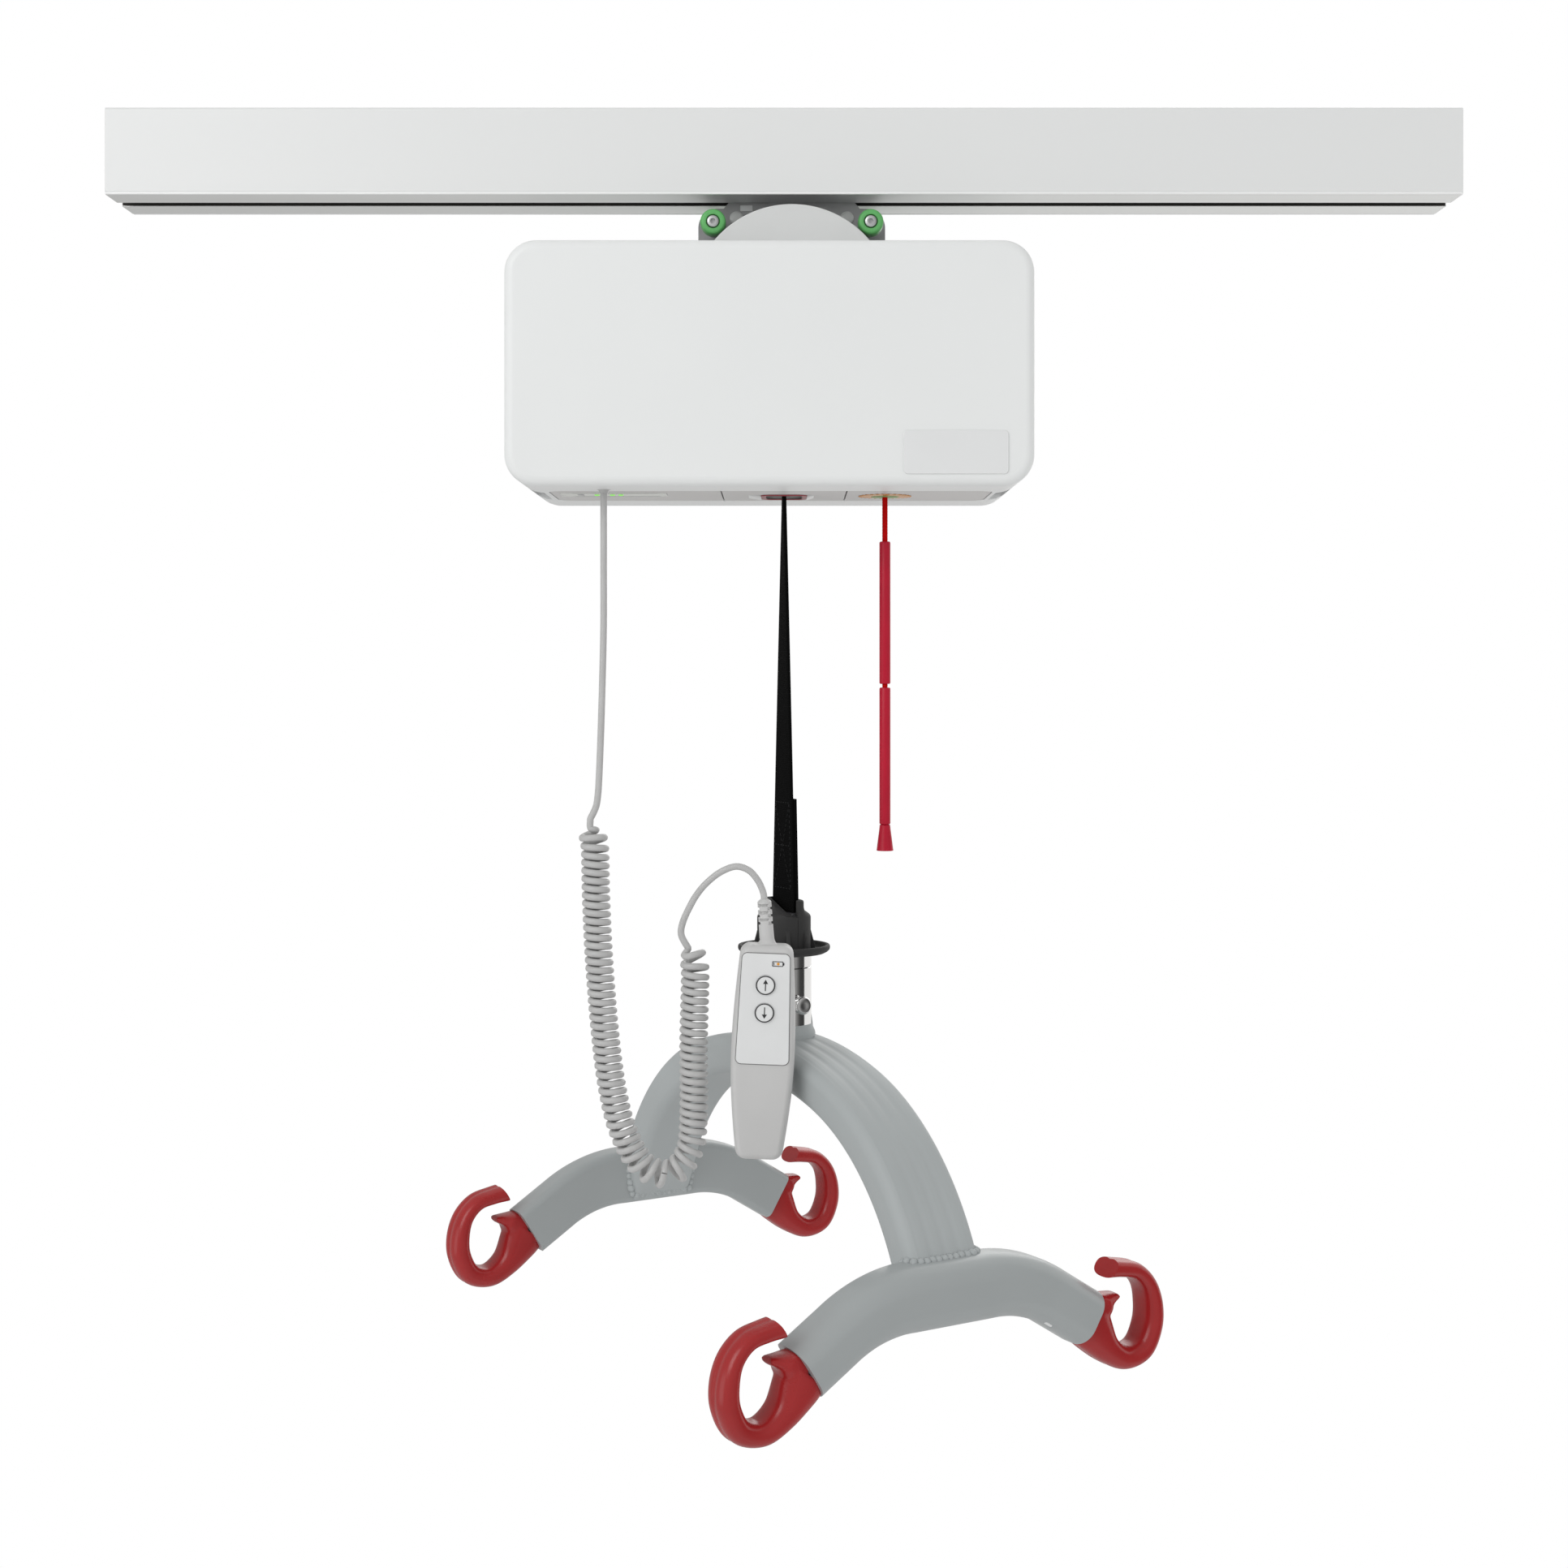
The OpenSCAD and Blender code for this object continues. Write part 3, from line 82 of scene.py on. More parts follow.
DISPLAY_LINES, DISPLAY_LINE_L, DISPLAY_LINE_W = ((-120, -34), (-120, -8)), 62, 0.7
STRAP_HOLE_W, STRAP_HOLE_D, PULL_HOLE_R = 26, 32, 3
STRAP_RING_W, STRAP_RING_D, STRAP_RING_R = 34, 40, 8
LIP_SPANS, LIP_L, LIP_DROPS = ((-25.5, -16.4), (21.5, 16.4)), 24, (0.1, 1.5)
STRAP_TOP, STRAP_TWIST_FROM, STRAP_TWIST_TO, STRAP_END = -185, -258, -566.5, -575.2
STRAP_TAIL_TOP = -493.5
DRUM_AT, DRUM_R, ROLL_R, ROLL_TURNS = (-46.3, -185), 22.6, 43.4, 7
COUPLING_TOP, COUPLING_BASE, DISH_BOTTOM = -566.5, -603.5, -606
COUPLING_R, COUPLING_FLAT = 19.5, 8.5
COUPLING_SLOT_W, COUPLING_SLOT_D, COUPLING_LEAN = 33, 9.4, math.radians(22)
DISH_FLOOR, DISH_RIM = DISH_BOTTOM + 2.5, DISH_BOTTOM + 6.5
STEM_R, STEM_HEAD_TOP, STEM_HEAD_LOW, STEM_SEAM, KNOB_Z = 19.8, -592.5, -597.2, -615.4, -641
ARCH_TOP, ARCH_W, ARCH_T = -665, 55.5, 29.5
ARCH_R1, ARCH_A1, ARCH_R2, ARCH_A2, ARCH_TAIL = 283, 18.5, 190, 65.5, 32
FLUTE_PITCH, FLUTE_REACH, ARCH_EDGE = 10.6, 4.2, 9.0
BAR_REACH, BAR_Z, BAR_H, BAR_D, BAR_TAPER = 205, -803, 42.5, 31, 0.1
BAR_FLAT, BAR_BEND_R, BAR_BEND, BAR_STRAIGHT = 30, 100, 32, 34
BAR_OUTER_R, BAR_INNER_R = 15, 6
PLUG_X, PLUG_Y, PLUG_Z, PLUG_DEPTH, PLUG_WAY = 8, 84, -15.8, 17.3, (0.46, -0.887)
HOOK_LINE = [(0, 0, 18.5), (6, -10, 15.5), (17, -23.5, 10), (31.5, -31.5, 8), (47, -27.5, 8), (55, -13, 7.8),
             (55.8, 1.8, 7.2), (51.5, 16, 6.3), (41.5, 26, 5.9), (28, 29.5, 6), (14, 31.3, 6.2), (8, 32, 3.5)]
BEAK_LINE = [(2, 2, 13), (11, 6, 10.5), (18, 9.5, 5), (26, 11.5, 2)]
HANDSET_TOP, HANDSET_LEAN = (-11.6, -590), math.radians(2.3)
HANDSET_L, HANDSET_FRONT, HANDSET_BACK = 148, -87, -63
HANDSET_MID = (HANDSET_FRONT + HANDSET_BACK)/2
HANDSET_W = (36, 44, 31.5)
BUTTON_DROPS, BUTTON_FACE, SIGN_AT = (27, 46), 2.2, (7.8, -12.2)
OVERLAY_W, OVERLAY_H, OVERLAY_DROP, OVERLAY_TOP_W, OVERLAY_SPREAD = 34, 76, 5.5, 32.6, 3.9
RELIEF_L, RELIEF_BEND = 31, math.radians(-6.3)
CORD_EXIT = (-126, -62)
LEAD_POINTS = [(-126, -62, -272.5), (-126, -62, -284), (-126, -62, -300), (-126, -62, -330),
               (-126, -62.5, -370), (-126.8, -63.5, -410), (-127.9, -65, -450), (-129, -66, -478),
               (-129.7, -66, -488), (-130.8, -66, -495), (-132.9, -66, -500.2), (-134.6, -66, -503.4),
               (-135, -66, -504.8), (-135, -66, -505.4)]
CURL_POINTS = [(-135, -66, -506), (-135, -66, -510), (-132.9, -66, -517), (-131.6, -66, -527),
               (-131, -66, -556), (-129, -66, -600), (-125, -66, -650), (-120, -66, -690), (-112, -66, -722),
               (-98, -66, -746), (-79, -66, -751), (-66, -66, -736), (-63, -66, -710), (-63, -66, -660),
               (-62, -66, -620), (-62.2, -66, -606), (-65, -66.5, -597.5), (-69.2, -67, -590)]
TAIL_POINTS = [(-69.3, -67.02, -589.8), (-71, -67.3, -586.5), (-71.7, -67.7, -583), (-71.2, -68.3, -579),
               (-69.4, -69.3, -573.3), (-66, -70.5, -566), (-61.3, -72, -557.5), (-54.5, -73.5, -549),
               (-44.5, -74.5, -540.8), (-33.5, -75, -536.6), (-24.5, -75, -539.2), (-18.7, -75, -545.4),
               (-15.5, -75, -551.5), (-14.05, -75, -556), (-13.77, -75, -559), (-13.52, -75, -562.5)]
# Curls: taper at both ends, first angle in degrees, steps to a turn, and how a bend spreads them
CURL_TAPER, CURL_START, CURL_STEPS, CURL_SPREAD, CURL_LEAST = 5, 150, 8, 1.12, 0.45
PULL_AT = (73, -8)
ROPE_TOP, GRIP_TOP, GRIP_GAP = -251.5, -307.5, 2.5


def length_prop(name, description, millimetres):
    """One length that a user may change"""
    return FloatProperty(name=name, description=description, default=millimetres*MM, unit="LENGTH")


def colour_prop(name, description, *rgb):
    """One linear colour that a user may change"""
    return FloatVectorProperty(name=name, description=description, default=rgb, subtype="COLOR",
                               size=3, min=0, max=1)


class HoistSizes(bpy.types.PropertyGroup):
    """Sizes of the pieces that this scene makes"""
    cord_d: length_prop("Hand cord", "Diameter of the hand cord", 4.7)
    curl_r: length_prop("Curl radius", "Radius of the curls at the middle of the cord", 7.75)
    curl_pitch: length_prop("Curl pitch", "Distance from curl to curl when straight", 5.6)
    rope_d: length_prop("Pull rope", "Diameter of the pull rope", 4)
    grip_d: length_prop("Grip tube", "Diameter of the two grip tubes", 8)
    grip_l: length_prop("Grip length", "Length of one grip tube", 103)
    strap_w: length_prop("Strap width", "Width of the lifting strap", 29)
    strap_t: length_prop("Strap thickness", "Thickness of the lifting strap", 2.6)
    stitch_l: length_prop("Stitch length", "Length of one stitch in the strap's tail", 2.6)
    edge_r: length_prop("Cover edge", "Rounding of the front and rear cover edges", 7)
    corner_r: length_prop("Cover corner", "Corner radius of the covers from the front", 22)
    roller_r: length_prop("Guide roller", "Radius of the green guide rollers", 9.1)
    flute_depth: length_prop("Flute depth", "Depth of the flutes on the arch", 0.4)
    bead_d: length_prop("Weld bead", "Size of one bump of the weld beads", 7.2)
    hook_w: length_prop("Hook width", "Width of a hook across its loop", 25)
    button_r: length_prop("Button radius", "Radius of the two handset buttons", 6.6)
    cord_sides: IntProperty(name="Cord sides", description="Faces round the hand cord", default=12, min=6)


class HoistColours(bpy.types.PropertyGroup):
    """Colours of the finishes"""
    rail: colour_prop("Rail", "Coated aluminium of the rail", 0.80, 0.81, 0.805)
    cover: colour_prop("Covers", "Moulded housing covers", 0.85, 0.865, 0.86)
    tray: colour_prop("Tray", "Panels under the housing", 0.61, 0.60, 0.59)
    dome: colour_prop("Domes", "Round plates of the trolley", 0.70, 0.71, 0.705)
    chassis: colour_prop("Chassis", "Plate in the rail slot", 0.42, 0.42, 0.43)
    roller: colour_prop("Rollers", "Green guide rollers", 0.125, 0.46, 0.135)
    webbing: colour_prop("Webbing", "Woven lifting strap", 0.006, 0.006, 0.006)
    coupling: colour_prop("Coupling", "Black shells and dish", 0.018, 0.018, 0.018)
    bar: colour_prop("Sling bar", "Painted sling bar", 0.375, 0.40, 0.402)
    hook: colour_prop("Hooks", "Moulded red hooks", 0.37, 0.017, 0.018)
    handset: colour_prop("Handset", "Shells of the handset", 0.59, 0.59, 0.585)
    overlay: colour_prop("Overlay", "Panel on the handset", 0.79, 0.80, 0.80)
    cord: colour_prop("Hand cord", "Jacket of the hand cord", 0.52, 0.52, 0.515)
    rope: colour_prop("Pull rope", "Braided pull rope", 0.55, 0.001, 0.001)
    grip: colour_prop("Grip tubes", "Tubes on the pull rope", 0.49, 0.002, 0.026)


def sizes():
    """The scene's lengths, in millimetres"""
    group = bpy.context.scene.hoist_sizes
    keys = [key for key in HoistSizes.__annotations__ if key != "cord_sides"]
    return SimpleNamespace(**{key: getattr(group, key)/MM for key in keys})


# Points and outlines
def spline(points, steps):
    """Smooth line through the points, with as many steps for each stretch"""
    last = len(points) - 1
    line = []
    for i in range(last):
        a, b, c, d = (Vector(points[j]) for j in (max(i - 1, 0), i, i + 1, min(i + 2, last)))
        for k in range(steps):
            t = k/steps
            bend = (2*a - 5*b + 4*c - d)*t*t + (3*b - a - 3*c + d)*t**3
            line.append((2*b + (c - a)*t + bend)/2)
    line.append(Vector(points[last]))
    return line


def smoothstep(t):
    """Soft step from 0 to 1"""
    t = min(max(t, 0.0), 1.0)
    return t*t*(3 - 2*t)


def spun(x, y, a):
    """A point turned about the origin"""
    return x*math.cos(a) - y*math.sin(a), x*math.sin(a) + y*math.cos(a)


def turned(x, y, z):
    """A point of the sling bar's own frame, turned about the strap"""
    return (*spun(x, y, YAW), z)


def circle(r, n):
    """Points round a circle"""
    return [(r*math.cos(2*math.pi*k/n), r*math.sin(2*math.pi*k/n)) for k in range(n)]


def corner(x, y, r, start, n):
    """Points along a quarter circle, from a starting angle"""
    angles = [math.radians(start + 90*k/n) for k in range(n + 1)]
    return [(x + r*math.cos(a), y + r*math.sin(a)) for a in angles]


def panel_outline(x0, x1, y0, y1, left_r, right_r, n=8):
    """Outline of a panel with its own corner radius at each end"""
    points = []
    for c in range(4):
        right, rear = c in (0, 3), c < 2
        r = right_r if right else left_r
        points += corner(x1 - r if right else x0 + r, y1 - r if rear else y0 + r, r, 90*c, n)
    return points


def round_rect(w, h, r, n=8, at=(0, 0)):
    """Outline of a rectangle with round corners"""
    return panel_outline(at[0] - w/2, at[0] + w/2, at[1] - h/2, at[1] + h/2, r, r, n)


def inset(outline, depth):
    """The outline drawn in by a depth, along its own normals"""
    n = len(outline)
    drawn = []
    for i in range(n):
        before, here, after = (Vector(outline[j % n]) for j in (i - 1, i, i + 1))
        e1, e2 = here - before, after - here
        e1 = e1.normalized() if e1.length > 1e-9 else e2.normalized()
        e2 = e2.normalized() if e2.length > 1e-9 else e1
        m = Vector((-e1.y - e2.y, e1.x + e2.x))
        m.normalize()
        lean = max(m.dot(Vector((-e1.y, e1.x))), 0.35)
        drawn.append(tuple(here + m*(depth/lean)))
    return drawn


def rounding(across, deep, steps):
    """Steps over a rounded edge: how far each is drawn in and how deep it lies"""
    angles = [math.radians(90*k/steps) for k in range(steps + 1)]
    return [(across*(1 - math.sin(a)), deep*(1 - math.cos(a))) for a in angles]


# Faces
def loft(rings, loop=False):
    """Faces between rings of equally many points, closed at the ends or looped"""
    n = len(rings[0])
    points = [tuple(p) for ring in rings for p in ring]
    faces = []
    for i in range(len(rings) if loop else len(rings) - 1):
        a0, b0 = i*n, ((i + 1) % len(rings))*n
        for j in range(n):
            k = (j + 1) % n
            faces.append((a0 + j, a0 + k, b0 + k, b0 + j))
    if not loop:
        faces.append(tuple(range(n - 1, -1, -1)))
        faces.append(tuple(range(len(points) - n, len(points))))
    return points, faces


def slab(outline, low, high, edge, place, steps=3):
    """A plate of an outline, its two edges rounded"""
    turns = rounding(edge, edge, steps) if edge > 0 else [(0, 0)]
    rings = [(inset(outline, depth), low + rise) for depth, rise in turns]
    rings += [(inset(outline, depth), high - rise) for depth, rise in reversed(turns)]
    return loft([[place(u, v, h) for u, v in ring] for ring, h in rings])


def revolve(profile, place, n=48):
    """A profile of (radius, height) points turned about its axis; a zero radius closes it"""
    rings = [[place(u, v, h) for u, v in circle(max(r, 1e-4), n)] for r, h in profile]
    if profile[0] == profile[-1]:
        return loft(rings[:-1], loop=True)
    return loft(rings)


def box(x0, x1, y0, y1, z0, z1):
    """A plain block"""
    ring = [(x0, y0), (x1, y0), (x1, y1), (x0, y1)]
    return loft([[(x, y, z) for x, y in ring] for z in (z0, z1)])


def drum(r, low, high, place, n):
    """A plain round block"""
    return revolve([(0.0, low), (r, low), (r, high), (0.0, high)], place, n)


def joined(*parts):
    """Several point and face lists as one"""
    points, faces = [], []
    for part_points, part_faces in parts:
        start = len(points)
        points += part_points
        faces += [tuple(i + start for i in face) for face in part_faces]
    return points, faces


def moved(form, change):
    """A form with each point sent through a change of place"""
    return [change(*point) for point in form[0]], form[1]


def flat(u, v, h):
    """Places a plate drawn from above, its height along Z"""
    return (u, v, h)


def frontal(y0, way=1, x=0, z=0):
    """Places a plate drawn in X and Z at a depth, its height along Y"""
    return lambda u, v, h: (x + u, y0 + way*h, z + v)


def upright(x, y):
    """Places a turned form on a vertical axis"""
    return lambda u, v, h: (x + u, y + v, h)


# Pieces
def add_object(name, data):
    """A new object in the scene"""
    obj = bpy.data.objects.new(name, data)
    bpy.context.scene.collection.objects.link(obj)
    return obj


def shade(mesh, degrees=35):
    """Smooth faces, with sharp edges past an angle"""
    mesh.shade_smooth()
    mesh.set_sharp_from_angle(angle=math.radians(degrees))


def make(name, form, material, degrees=35):
    """An object from points in millimetres and faces, merged and turned outwards"""
    points, faces = form
    mesh = bpy.data.meshes.new(name)
    mesh.from_pydata([Vector(p)*MM for p in points], [], faces)
    shape = bmesh.new()
    shape.from_mesh(mesh)
    bmesh.ops.remove_doubles(shape, verts=shape.verts, dist=1e-6)
    bmesh.ops.dissolve_degenerate(shape, edges=shape.edges, dist=1e-7)
    bmesh.ops.recalc_face_normals(shape, faces=shape.faces)
    shape.to_mesh(mesh)
    shape.free()
    mesh.materials.append(material)
    shade(mesh, degrees)
    return add_object(name, mesh)


def bake(obj, degrees=None):
    """The object's modifiers worked into its mesh"""
    bpy.context.view_layer.update()
    shown = obj.evaluated_get(bpy.context.evaluated_depsgraph_get())
    mesh = bpy.data.meshes.new_from_object(shown)
    old = obj.data
    obj.modifiers.clear()
    obj.data = mesh
    mesh.name = obj.name
    bpy.data.meshes.remove(old)
    if degrees is not None:
        shade(mesh, degrees)
    return obj


def cut(obj, form, operation="DIFFERENCE", degrees=35):
    """The object cut by another form"""
    tool = make(obj.name + "_cut", form, obj.data.materials[0])
    modifier = obj.modifiers.new("cut", "BOOLEAN")
    modifier.operation = operation
    modifier.solver = "EXACT"
    modifier.object = tool
    bake(obj, degrees)
    bpy.data.objects.remove(tool)


def even_faces(obj):
    """Shading of broad faces kept flat beside their rounded edges"""
    modifier = obj.modifiers.new("even", "WEIGHTED_NORMAL")
    modifier.keep_sharp = True
    bake(obj)


def seat(obj, body, slot, *nodes):
    """Carries a piece on a body and hides the solids that it stands for; the slot is not used"""
    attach(obj, body)
    if nodes:
        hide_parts(*nodes)
    return obj


def piece(name, form, kind, body, slot, *nodes, degrees=35, cuts=None, even=False):
    """A finished piece: made, cut, carried on its body and set in place of its solids"""
    obj = make(name, form, paint(kind), degrees)
    if cuts:
        cut(obj, cuts, degrees=degrees)
    if even:
        even_faces(obj)
    return seat(obj, body, slot, *nodes)


def dress(kind, *nodes):
    """Gives solids that stay in view a finish"""
    for name in nodes:
        mesh = NODES[name].data
        mesh.materials.clear()
        mesh.materials.append(paint(kind))


# Node trees
def set_values(node, values):
    """Sets a node's inputs"""
    for key, value in values.items():
        node.inputs[key].default_value = value


def add(tree, kind, values=None, **settings):
    """A new node with its settings and the values of its inputs"""
    node = tree.nodes.new(kind)
    for key, value in settings.items():
        setattr(node, key, value)
    set_values(node, values or {})
    return node


def wire(tree, *links):
    """Links nodes: each link names a node and its output, then a node and its input"""
    for source, output, target, entry in links:
        tree.links.new(source.outputs[output], target.inputs[entry])


def new_tree(name, **inputs):
    """An empty tree with named inputs, the identifier of each, and its input node"""
    tree = bpy.data.node_groups.new(name, "GeometryNodeTree")
    keys = {}
    for label, kind in inputs.items():
        socket = tree.interface.new_socket(label, in_out="INPUT", socket_type="NodeSocket" + kind)
        keys[label] = socket.identifier
    tree.interface.new_socket("Shape", in_out="OUTPUT", socket_type="NodeSocketGeometry")
    return tree, keys, add(tree, "NodeGroupInput")


def finish_tree(tree, start, last):
    """Realizes the copies, sets the finish and closes the tree"""
    realize = add(tree, "GeometryNodeRealizeInstances")
    smooth = add(tree, "GeometryNodeSetShadeSmooth")
    material = add(tree, "GeometryNodeSetMaterial")
    end = add(tree, "NodeGroupOutput")
    wire(tree, (last, 0, realize, 0), (realize, 0, smooth, 0), (smooth, 0, material, 0),
         (start, "Finish", material, "Material"), (material, 0, end, 0))


def tube_tree():
    """Tree that carries a round outline along a line of points"""
    tree, keys, start = new_tree("Round along a line", Line="Geometry", Radius="Float", Sides="Int",
                                 Finish="Material")
    line = add(tree, "GeometryNodeMeshToCurve")
    ring = add(tree, "GeometryNodeCurvePrimitiveCircle")
    skin = add(tree, "GeometryNodeCurveToMesh", {"Fill Caps": True})
    wire(tree, (start, "Line", line, 0), (start, "Sides", ring, "Resolution"),
         (start, "Radius", ring, "Radius"), (line, 0, skin, "Curve"), (ring, "Curve", skin, "Profile Curve"))
    finish_tree(tree, start, skin)
    return tree, keys


def seat_tree():
    """Tree that sets one shape on every seat, turned by the seat and sized with a seeded spread"""
    tree, keys, start = new_tree("One shape on every seat", Seats="Geometry", Shape="Object", Size="Float",
                                 Spread="Float", Seed="Int", Finish="Material")
    shape = add(tree, "GeometryNodeObjectInfo")
    turn = add(tree, "GeometryNodeInputNamedAttribute", {"Name": "turn"}, data_type="FLOAT_VECTOR")
    angle = add(tree, "FunctionNodeEulerToRotation")
    spread = add(tree, "FunctionNodeRandomValue", data_type="FLOAT")
    copies = add(tree, "GeometryNodeInstanceOnPoints")
    for operation, limit in (("SUBTRACT", 2), ("ADD", 3)):
        size = add(tree, "ShaderNodeMath", operation=operation)
        wire(tree, (start, "Size", size, 0), (start, "Spread", size, 1), (size, 0, spread, limit))
    wire(tree, (start, "Seed", spread, "Seed"), (start, "Shape", shape, "Object"),
         (start, "Seats", copies, "Points"), (shape, "Geometry", copies, "Instance"),
         (turn, "Attribute", angle, 0), (angle, 0, copies, "Rotation"), (spread, 1, copies, "Scale"))
    finish_tree(tree, start, copies)
    return tree, keys


TREES = {}


def grow(name, mesh, build, values, degrees):
    """A plain mesh object from a node tree on a seed mesh; each tree is made once"""
    if build not in TREES:
        TREES[build] = build()
    tree, keys = TREES[build]
    obj = add_object(name, mesh)
    modifier = obj.modifiers.new("grow", "NODES")
    modifier.node_group = tree
    for label, value in values.items():
        modifier[keys[label]] = value
    bake(obj, degrees)
    if not obj.data.polygons:
        raise RuntimeError(f"{name} came out empty")
    return obj


def tube(name, path, diameter, sides, material):
    """A round cord along a path of points in millimetres"""
    mesh = bpy.data.meshes.new(name)
    mesh.from_pydata([Vector(p)*MM for p in path], [(i, i + 1) for i in range(len(path) - 1)], [])
    return grow(name, mesh, tube_tree, {"Radius": diameter*MM/2, "Sides": sides, "Finish": material}, 60)


def scatter(name, seats, shape, kind, size=1.0, spread=0.0, seed=0, degrees=35):
    """Copies of one shape on seats, each a place in millimetres and a turn"""
    mesh = bpy.data.meshes.new(name)
    mesh.from_pydata([Vector(at)*MM for at, _ in seats], [], [])
    turns = mesh.attributes.new("turn", "FLOAT_VECTOR", "POINT")
    for i, (_, turn) in enumerate(seats):
        turns.data[i].vector = turn.to_euler()
    pattern = make(name + "_pattern", shape, paint(kind))
    obj = grow(name, mesh, seat_tree, {
        "Shape": pattern, "Size": size, "Spread": spread, "Seed": seed, "Finish": paint(kind)}, degrees)
    bpy.data.objects.remove(pattern)
    return obj


def facing(out, along=ACROSS):
    """Turn that lays a shape's Z along out and its X along a direction"""
    z = Vector(out).normalized()
    x = Vector(along)
    x = (x - z*x.dot(z)).normalized()
    return Matrix((x, z.cross(x), z)).transposed()


# Finishes
def blank(name):
    """A new material, its node tree and its shader"""
    material = bpy.data.materials.new(name)
    material.use_nodes = True
    return material, material.node_tree, material.node_tree.nodes["Principled BSDF"]


def two_tone(tree, colour, dark, light, stops=(0.0, 1.0)):
    """A ramp between a darker and a lighter tone of one colour"""
    ramp = add(tree, "ShaderNodeValToRGB")
    for element, share, position in zip(ramp.color_ramp.elements, (dark, light), stops):
        element.position = position
        element.color = [min(max(c*share, 0), 1) for c in colour] + [1]
    return ramp


def finish(name, colour, rough, metal=0.0, mottle=0.04, patch=14.0, grain=0.0, grain_size=1400.0,
           stretch=(1, 1, 1), coat=0.0, rough_spread=0.05, glow=0.0, spec=0.5):
    """A finish with clouded colour and gloss, and a fine grain"""
    material, tree, shader = blank(name)
    set_values(shader, {"Metallic": metal, "Specular IOR Level": spec, "Coat Weight": coat,
                        "Coat Roughness": 0.12})
    place = add(tree, "ShaderNodeTexCoord")
    mapping = add(tree, "ShaderNodeMapping", {"Scale": stretch})
    clouds = add(tree, "ShaderNodeTexNoise", {"Scale": patch, "Detail": 5.0})
    tint = two_tone(tree, colour, 1 - mottle, 1 + mottle, (0.3, 0.7))
    gloss = add(tree, "ShaderNodeMapRange", {"To Min": max(rough - rough_spread, 0.02),
                                             "To Max": min(rough + rough_spread, 1.0)})
    wire(tree, (place, "Object", mapping, "Vector"), (mapping, "Vector", clouds, "Vector"),
         (clouds, "Fac", tint, "Fac"), (tint, "Color", shader, "Base Color"),
         (clouds, "Fac", gloss, "Value"), (gloss, "Result", shader, "Roughness"))
    if grain > 0:
        fine = add(tree, "ShaderNodeTexNoise", {"Scale": grain_size, "Detail": 3.0})
        bump = add(tree, "ShaderNodeBump", {"Strength": grain, "Distance": 0.0002})
        wire(tree, (mapping, "Vector", fine, "Vector"), (fine, "Fac", bump, "Height"),
             (bump, "Normal", shader, "Normal"))
    if glow > 0:
        set_values(shader, {"Emission Color": list(colour) + [1], "Emission Strength": glow})
    return material


def webbing_finish(name, colour):
    """Woven webbing: ribs across the strap and yarns along it, read from the strap's own map"""
    material, tree, shader = blank(name)
    set_values(shader, {"Roughness": 0.9, "Specular IOR Level": 0.03})
    place = add(tree, "ShaderNodeUVMap", uv_map="strap")
    weave = add(tree, "ShaderNodeMath", operation="MULTIPLY")
    for i, (direction, scale) in enumerate((("X", 0.42), ("Y", 0.30))):
        wave = add(tree, "ShaderNodeTexWave", {"Scale": scale, "Distortion": 0.6, "Detail": 1.0},
                   bands_direction=direction)
        wire(tree, (place, "UV", wave, "Vector"), (wave, "Fac", weave, i))
    tint = two_tone(tree, colour, 0.55, 1.6)
    bump = add(tree, "ShaderNodeBump", {"Strength": 0.5, "Distance": 0.0004})
    wire(tree, (weave, 0, tint, "Fac"), (tint, "Color", shader, "Base Color"),
         (weave, 0, bump, "Height"), (bump, "Normal", shader, "Normal"))
    return material


def bare_underside(material):
    """Takes the coat off the rail's underside, whose lips are bare satin metal"""
    tree = material.node_tree
    shader = tree.nodes["Principled BSDF"]
    place = add(tree, "ShaderNodeTexCoord")
    split = add(tree, "ShaderNodeSeparateXYZ")
    level = add(tree, "ShaderNodeMapRange", {"From Min": (0.8 - RAIL["height"])*MM,
                                             "From Max": (0.1 - RAIL["height"])*MM})
    gloss = add(tree, "ShaderNodeMix", {"B": 0.5})
    coat = shader.inputs["Roughness"].links[0].from_node
    wire(tree, (place, "Object", split, 0), (split, "Z", level, "Value"),
         (level, "Result", shader, "Metallic"), (level, "Result", gloss, "Factor"),
         (coat, "Result", gloss, "A"), (gloss, "Result", shader, "Roughness"))


def fading_floor(name, colour):
    """A pale floor that runs out into the white backdrop before its rim"""
    material = finish(name, colour, 0.7, 0, 0.01, 2)
    tree = material.node_tree
    shader, out = (tree.nodes[key] for key in ("Principled BSDF", "Material Output"))
    place = add(tree, "ShaderNodeTexCoord")
    level = add(tree, "ShaderNodeVectorMath", {1: (1, 1, 0)}, operation="MULTIPLY")
    reach = add(tree, "ShaderNodeVectorMath", operation="LENGTH")
    fade = add(tree, "ShaderNodeMapRange", {"From Min": FLOOR_FADE[0], "From Max": FLOOR_FADE[1]},
               interpolation_type="SMOOTHSTEP")
    rays = add(tree, "ShaderNodeLightPath")
    seen = add(tree, "ShaderNodeMath", operation="MULTIPLY")
    white = add(tree, "ShaderNodeEmission")
    mix = add(tree, "ShaderNodeMixShader")
    wire(tree, (place, "Object", level, 0), (level, "Vector", reach, 0), (reach, "Value", fade, "Value"),
         (fade, "Result", seen, 0), (rays, "Is Camera Ray", seen, 1), (seen, 0, mix, 0),
         (shader, 0, mix, 1), (white, 0, mix, 2), (mix, 0, out, "Surface"))
    return material


